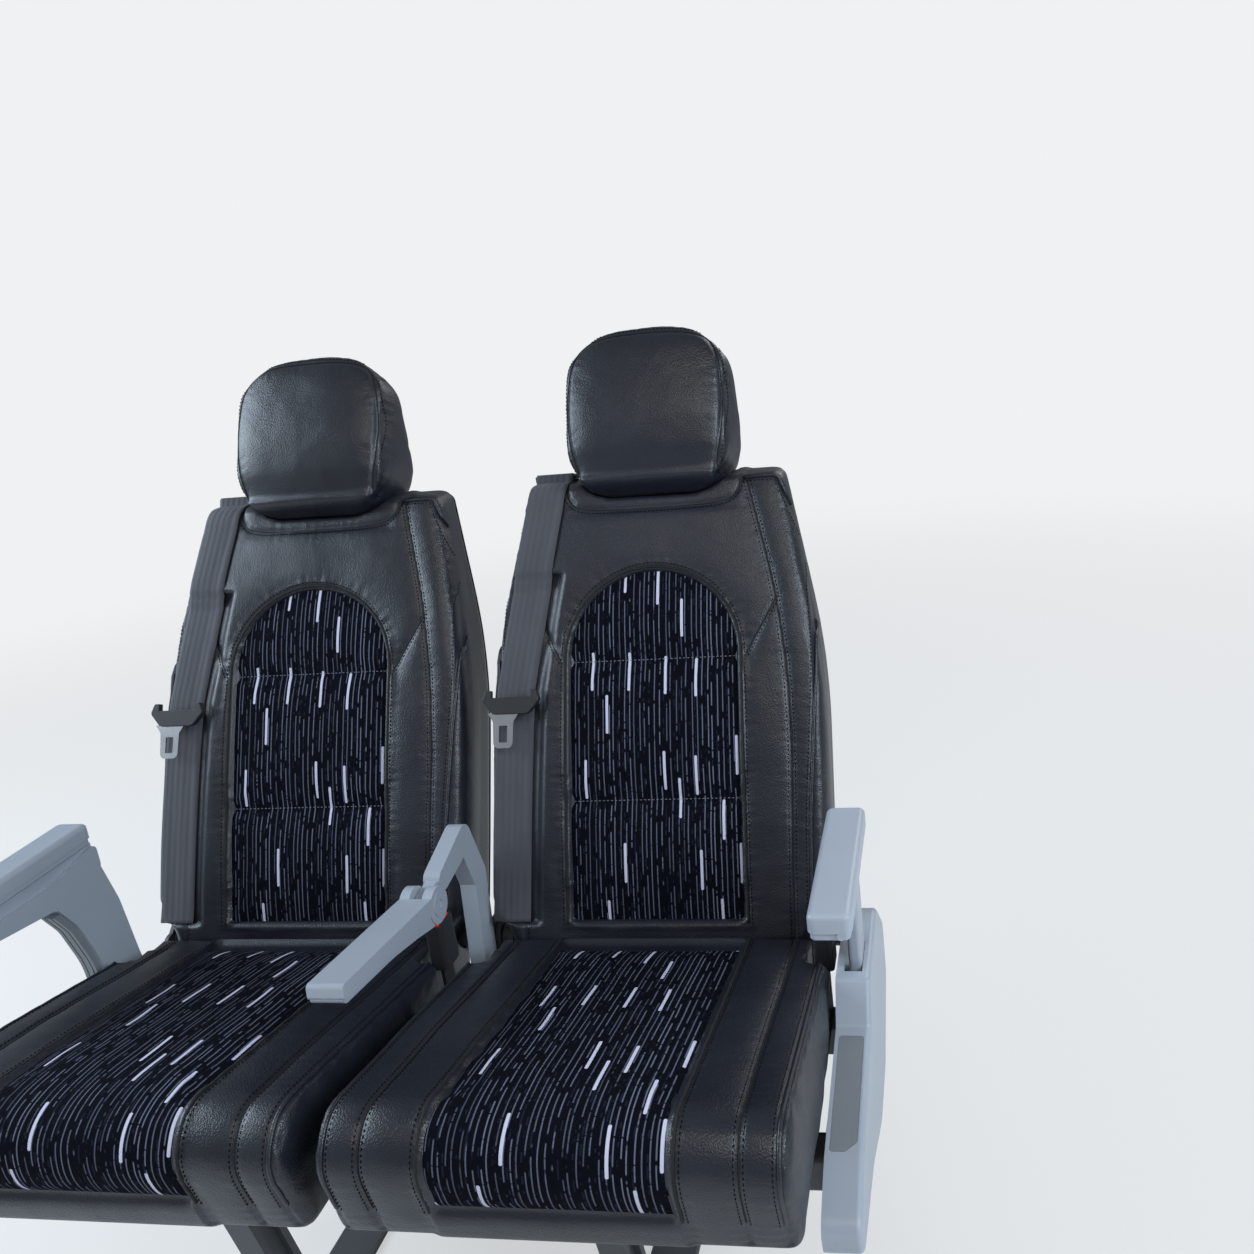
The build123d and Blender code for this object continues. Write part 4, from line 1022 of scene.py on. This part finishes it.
def sewBack():
    tree = treeOf(soft["back"])
    top = evenly([back["outer"][0], Vector((0.160, 0.5600)), Vector((0.119, 0.5605))])
    outer = list(reversed(back["outer"])) + top[1:]
    for turn in (list, mirrored):
        for gap in (-sewing["double"], sewing["double"]):
            drape(tree, "rows", turn(beside(back["double"], gap)))
        drape(tree, "rows", turn(beside(outer, sewing["outer"])))
        drape(tree, "rows", turn(beside(back["diagonal"], sewing["diagonal"])))
        drape(tree, "pipes", turn(outer))
        for name in ("double", "diagonal"):
            drape(tree, "seamShades", turn(back[name]))
    drape(tree, "rows", beside(back["yoke"], -sewing["yoke"]))
    drape(tree, "seamShades", back["yoke"])
    drape(tree, "rows", archLine(sewing["arch"]))
    drape(tree, "welts", archLine(sewing["welt"]))


def sewHead():
    tree = treeOf(soft["head"])
    drape(tree, "rows", beside(headOutline(), -sewing["yoke"]))
    drape(tree, "seamShades", headOutline())


def sewChannels():
    tree = treeOf(soft["backPanel"])
    half = sewing["channelHalf"]
    for seam in back["channels"]:
        drape(tree, "channels", evenly([Vector((-half, seam)), Vector((half, seam))]))


def sewSeat():
    tree = treeOf(soft["cushion"])
    for side in (-1, 1):
        wrap(tree, "seamShades", side * cushion["double"])
        for gap in (-sewing["double"], sewing["double"]):
            wrap(tree, "rows", side * (cushion["double"] + gap))
        wrap(tree, "rows", side * (cushion["panel"] + sewing["arch"]))
        wrap(tree, "rows", side * (cushion["outer"] - sewing["outer"]), sewing["sideFirst"])
        wrap(tree, "pipes", side * cushion["outer"], sewing["sideFirst"])
        wrap(tree, "welts", side * (cushion["panel"] + sewing["welt"]))


def stitched(lines, finish, **sizes):
    return generated(lineMesh(lines, "rows"), stitches, Finish=finish, **sizes)


def piped(lines, kind):
    return tube(lines[kind], *sewing["tube"][kind])


print("seams")
stitches = stitchTree()
thread = plastic("thread", (0.0030, 0.0030, 0.0036), 0.9, 0.1, Specular_IOR_Level=0.1)
paleThread = plastic("paleThread", (0.150, 0.160, 0.200), 0.7, 0.1)
# darker than the leather: on the welts round the inserts it is their own dark colour, on the seam lines it
# is painted shade in each crease
welt = plastic("welt", (0.0035, 0.0038, 0.0048), 0.75, 0.3)
sewBack()
sewHead()
sewChannels()
sewSeat()
backTrim = (
    ("backStitches", stitched(onBack["rows"], thread), "leatherette", thread),
    ("channelStitches", stitched(onBack["channels"], paleThread, Pitch=0.0052), "stripe_fabric", paleThread),
    ("backPiping", piped(onBack, "pipes"), "leatherette", None),
    ("backWelt", piped(onBack, "welts"), "leatherette", welt),
    # painted shade: a dark tube down each seam's crease
    ("backSeam", piped(onBack, "seamShades"), "leatherette", welt),
)
seatTrim = (
    ("seatStitches", stitched(onSeat["rows"], thread), "leatherette", thread),
    ("seatPiping", piped(onSeat, "pipes"), "leatherette", None),
    ("seatWelt", piped(onSeat, "welts"), "leatherette", welt),
    # painted shade: a dark tube down each seam's crease
    ("seatSeam", piped(onSeat, "seamShades"), "leatherette", welt),
)
for seat, body in backBody.items():
    for name, mesh, slotName, finish in backTrim:
        settle(mesh, name, seat, backPlace, body, slotName, finish=finish)
    for name, mesh, slotName, finish in seatTrim:
        settle(mesh, name, seat, rowPlace, "frame", slotName, finish=finish)


# Belts: a flat strap down the bolster, over the shoulder and into its guide

def makeStrap():
    size = {"half": 0.025, "thick": 0.0018, "lift": 0.0005, "low": 0.014, "bend": 0.532, "depth": -0.034,
            "step": 0.005, "turn": 65.0, "turned": 12, "columns": 11, "slack": 0.4, "over": 0.006,
            "away": 0.2, "into": ((0.3262, 0.9445), (0.3290, 0.9492), (0.3318, 0.9502), (0.3340, 0.9470),
                                  (0.3342, 0.9400))}
    tree = treeOf(soft["back"])
    hub = Vector((0, size["bend"], size["depth"]))
    upWay, levelWay = Vector((0, cos(lean), sin(lean))), Vector((0, sin(lean), -cos(lean)))
    casts = []

    def cast(base, way, s):
        # from outside on the belt's middle line, with the way out
        casts.append((base + way * size["away"] + Vector((beltAt(s), 0, 0)), way))

    for s in np.arange(size["low"], size["bend"], size["step"]):
        cast(Vector((0, s, hub.z)), Vector((0, 0, 1)), s)
    for a in np.linspace(0, radians(size["turn"]), size["turned"]):
        cast(hub, Vector((0, sin(a), cos(a))), size["bend"] + 0.03 * sin(a))
    for step in (0.004, 0.008):
        cast(hub + levelWay * step, upWay, back["beltS"][-1])
    columns = list(range(size["columns"]))
    across = np.linspace(-size["half"], size["half"], len(columns))
    fallen = []
    for start, way in casts:
        hits = [tree.ray_cast(start + Vector((c, 0, 0)), -way)[0] for c in across]
        fallen.append([(start - hit).dot(way) if hit else 9.0 for hit in hits])
    fallen = np.array(fallen)
    middle = fallen[:, 3:8].min(axis=1)
    near = [middle[max(i - 3, 0):i + 4] for i in range(len(middle))]
    middle = np.array([m.min() * 0.5 + m.mean() * 0.5 for m in near])
    grid = []
    for (start, way), deep, falls in zip(casts, middle, fallen):
        over = np.clip((falls - deep) * size["slack"], 0, size["over"])
        line = [start + Vector((c, 0, 0)) - way * (deep + o - size["lift"]) for c, o in zip(across, over)]
        grid.append((line, way))
    for y, z in size["into"]:
        place = backPlace.inverted() @ Vector((0, y, z))
        out = upWay if y < 0.333 else -levelWay
        grid.append(([Vector((p.x, place.y, place.z)) for p in grid[-1][0]], out))
    run = [0.0]
    for (a, _), (b, _) in zip(grid, grid[1:]):
        run.append(run[-1] + (b[5] - a[5]).length)

    def layer(lift):
        def side(i, c):
            line, out = grid[i]
            return line[c] + out * lift, (float(across[c]), run[i])
        return side

    mesh = pillow(list(range(len(grid))), columns, layer(size["thick"]), layer(0.0), "strap")[0]
    mesh.shade_smooth()
    return mesh


print("belts")
strap = makeStrap()
for seat, body in backBody.items():
    settle(strap, "beltStrap", seat, backPlace, body, "belt_webbing", ["belt"])


# Magazine nets: crossed elastic cords by Geometry Nodes on a sheet's own grid, with a hem

def netTree():
    group = Group("net", "Sheet", Cord=0.0009)
    line = group.node("GeometryNodeMeshToCurve", {}, {"Mesh": group.given("Sheet")})
    radius = group.given("Cord")
    ring = group.node("GeometryNodeCurvePrimitiveCircle", {}, {"Resolution": 5, "Radius": radius})
    return group.finished(group.node("GeometryNodeCurveToMesh", {}, {"Curve": line, "Profile Curve": ring}))


def makeNet():
    # the net's middle surface, read off its solid: rows from the foot up, each with its place and inward way
    size = {"columns": 28, "rows": 18, "cord": 0.0009, "hem": 0.0014, "foot": 0.003, "top": 0.0015,
            "aside": 0.0003, "inward": 0.0010, "crossing": 0.0004}
    low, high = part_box("magazine_net_aisle")
    half = (high[0] - low[0]) / 2 - size["cord"]
    sheet = cadCopy("magazine_net", backPlace)
    tree = treeOf(sheet)
    up = places(sheet)[:, 1]
    grid = []
    for s in np.linspace(up.min() + size["foot"], up.max() - size["top"], size["rows"] + 1):
        hit = tree.ray_cast(Vector((size["aside"], s, -0.3)), Vector((0, 0, 1)))[0]
        if hit:
            grid.append((s, hit.z + size["inward"]))
    xs = np.linspace(-half, half, size["columns"] + 1)
    lines = []
    for start in range(-len(grid), size["columns"] + 1, 2):
        for way in (1, -1):
            line = []
            for i, (s, n) in enumerate(grid, start):
                if 0 <= i <= size["columns"]:
                    line.append(Vector((xs[i] * way, s, n + size["crossing"] * way)))
            if len(line) > 1:
                lines.append(line)
    sides = [[Vector((x, s, n)) for s, n in grid] for x in (-half, half)]
    hems = [[Vector((x, s, n)) for x in xs] for s, n in (grid[0], grid[-1])]
    cords = generated(lineMesh(lines, "net"), netTree(), Cord=size["cord"], Finish=finishes["net_fabric"])
    return cords, tube(sides + hems, size["hem"])


print("nets")
netCords, netHem = makeNet()
for seat, body in backBody.items():
    settle(netCords, "magazineNet", seat, backPlace, body, "net_fabric", ["magazine_net"])
    settle(netHem, "magazineHem", seat, backPlace, body, "net_fabric")


# Stage, lights and camera

def lookAt(place, target):
    return (Vector(target) - Vector(place)).to_track_quat("-Z", "Y").to_matrix().to_4x4()


paper = (0.87, 0.88, 0.89, 1)    # as the camera sees the backdrop


def makeFloor():
    size = {"half": 40.0, "colour": (0.80, 0.80, 0.79, 1), "near": 0.9, "far": 5.0, "paleNear": 0.55}
    h = size["half"]
    mesh = bpy.data.meshes.new("floor")
    mesh.from_pydata([(-h, -h, 0), (h, -h, 0), (h, h, 0), (-h, h, 0)], [], [(0, 1, 2, 3)])
    shade = Shade("floorPaper", Roughness=0.9, Base_Color=size["colour"])
    # the camera sees it pale, and paler far away, where it meets the backdrop
    away = shade.node("VectorMath", {"operation": "LENGTH"}, [shade.objectPlace()], out="Value")
    pale = away.ramp(size["near"], size["far"]) * (1 - size["paleNear"]) + size["paleNear"]
    eye = shade.node("LightPath", out="Is Camera Ray")
    glow = shade.node("Emission", {}, {"Color": paper, "Strength": 1.0})
    mixed = shade.node("MixShader", {}, [pale * eye, Term(shade, shade.surface.outputs[0]), glow])
    shade.tree.links.new(mixed.socket, shade.tree.nodes["Material Output"].inputs["Surface"])
    mesh.materials.append(shade.material)
    linked(mesh, "floor")


def makeWorld():
    light = {"colour": (0.86, 0.93, 1.0, 1), "strength": 0.30}
    world = bpy.data.worlds.new("studio")
    bpy.context.scene.world = world
    world.use_nodes = True
    sky = Graph(world.node_tree)
    glow = sky.tree.nodes["Background"]
    glow.inputs["Color"].default_value = light["colour"]
    glow.inputs["Strength"].default_value = light["strength"]
    seen = sky.node("Background", {}, {"Color": paper})
    eye = sky.node("LightPath", out="Is Camera Ray")
    through = sky.node("LightPath", out="Is Transmission Ray")
    blend = sky.node("MixShader", {}, [eye.math("MAXIMUM", through), Term(sky, glow.outputs[0]), seen])
    sky.tree.links.new(blend.socket, sky.tree.nodes["World Output"].inputs["Surface"])


def makeLamps():
    lamps = [  # name, place, target, width, height, watts, colour
        ("windowSide", (-2.7, -0.3, 2.0), (0.0, 0.1, 0.7), 2.4, 1.5, 88.0, (0.72, 0.86, 1.0)),
        ("aisleSide", (2.3, -1.1, 1.9), (0.2, 0.1, 0.8), 1.2, 1.2, 48.0, (0.78, 0.89, 1.0)),
        ("ahead", (0.7, -2.2, 3.2), (0.1, 0.1, 0.6), 1.6, 1.0, 20.0, (1.0, 0.95, 0.90)),
        ("behind", (1.6, 2.6, 2.4), (0.0, 0.2, 0.7), 1.6, 1.6, 24.0, (1.0, 1.0, 1.0)),
    ]
    for name, place, target, width, height, watts, colour in lamps:
        data = bpy.data.lights.new(name, "AREA")
        data.shape = "RECTANGLE"
        data.size, data.size_y = width, height
        data.energy = watts
        data.color = colour
        lamp = bpy.data.objects.new(name, data)
        lamp.matrix_world = Matrix.Translation(place) @ lookAt(place, target)
        bpy.context.scene.collection.objects.link(lamp)


def makeCamera():
    seen = {"place": (0.606, -1.0857, 1.1817), "yaw": 9.63, "pitch": 16.23, "roll": -5.67,
            "focalPixels": 1120.4, "centreX": 771.1, "centreY": 599.6, "pixels": 1254}
    yaw, pitch, roll = (radians(seen[k]) for k in ("yaw", "pitch", "roll"))
    ahead = Vector((-sin(yaw) * cos(pitch), cos(yaw) * cos(pitch), -sin(pitch)))
    level = ahead.cross(Vector((0, 0, 1))).normalized()
    lift = level.cross(ahead)
    right = level * cos(roll) + lift * sin(roll)
    up = lift * cos(roll) - level * sin(roll)
    data = bpy.data.cameras.new("camera")
    data.sensor_width = 36.0
    data.lens = seen["focalPixels"] * data.sensor_width / seen["pixels"]
    data.shift_x = (seen["pixels"] / 2 - seen["centreX"]) / seen["pixels"]
    data.shift_y = (seen["centreY"] - seen["pixels"] / 2) / seen["pixels"]
    data.clip_start = 0.05
    camera = bpy.data.objects.new("camera", data)
    turn = Matrix((right, up, -ahead)).transposed().to_4x4()
    camera.matrix_world = Matrix.Translation(seen["place"]) @ turn
    bpy.context.scene.collection.objects.link(camera)
    bpy.context.scene.camera = camera


print("stage and camera")
makeFloor()
makeWorld()
makeLamps()
makeCamera()
bpy.context.scene.view_settings.view_transform = "Standard"
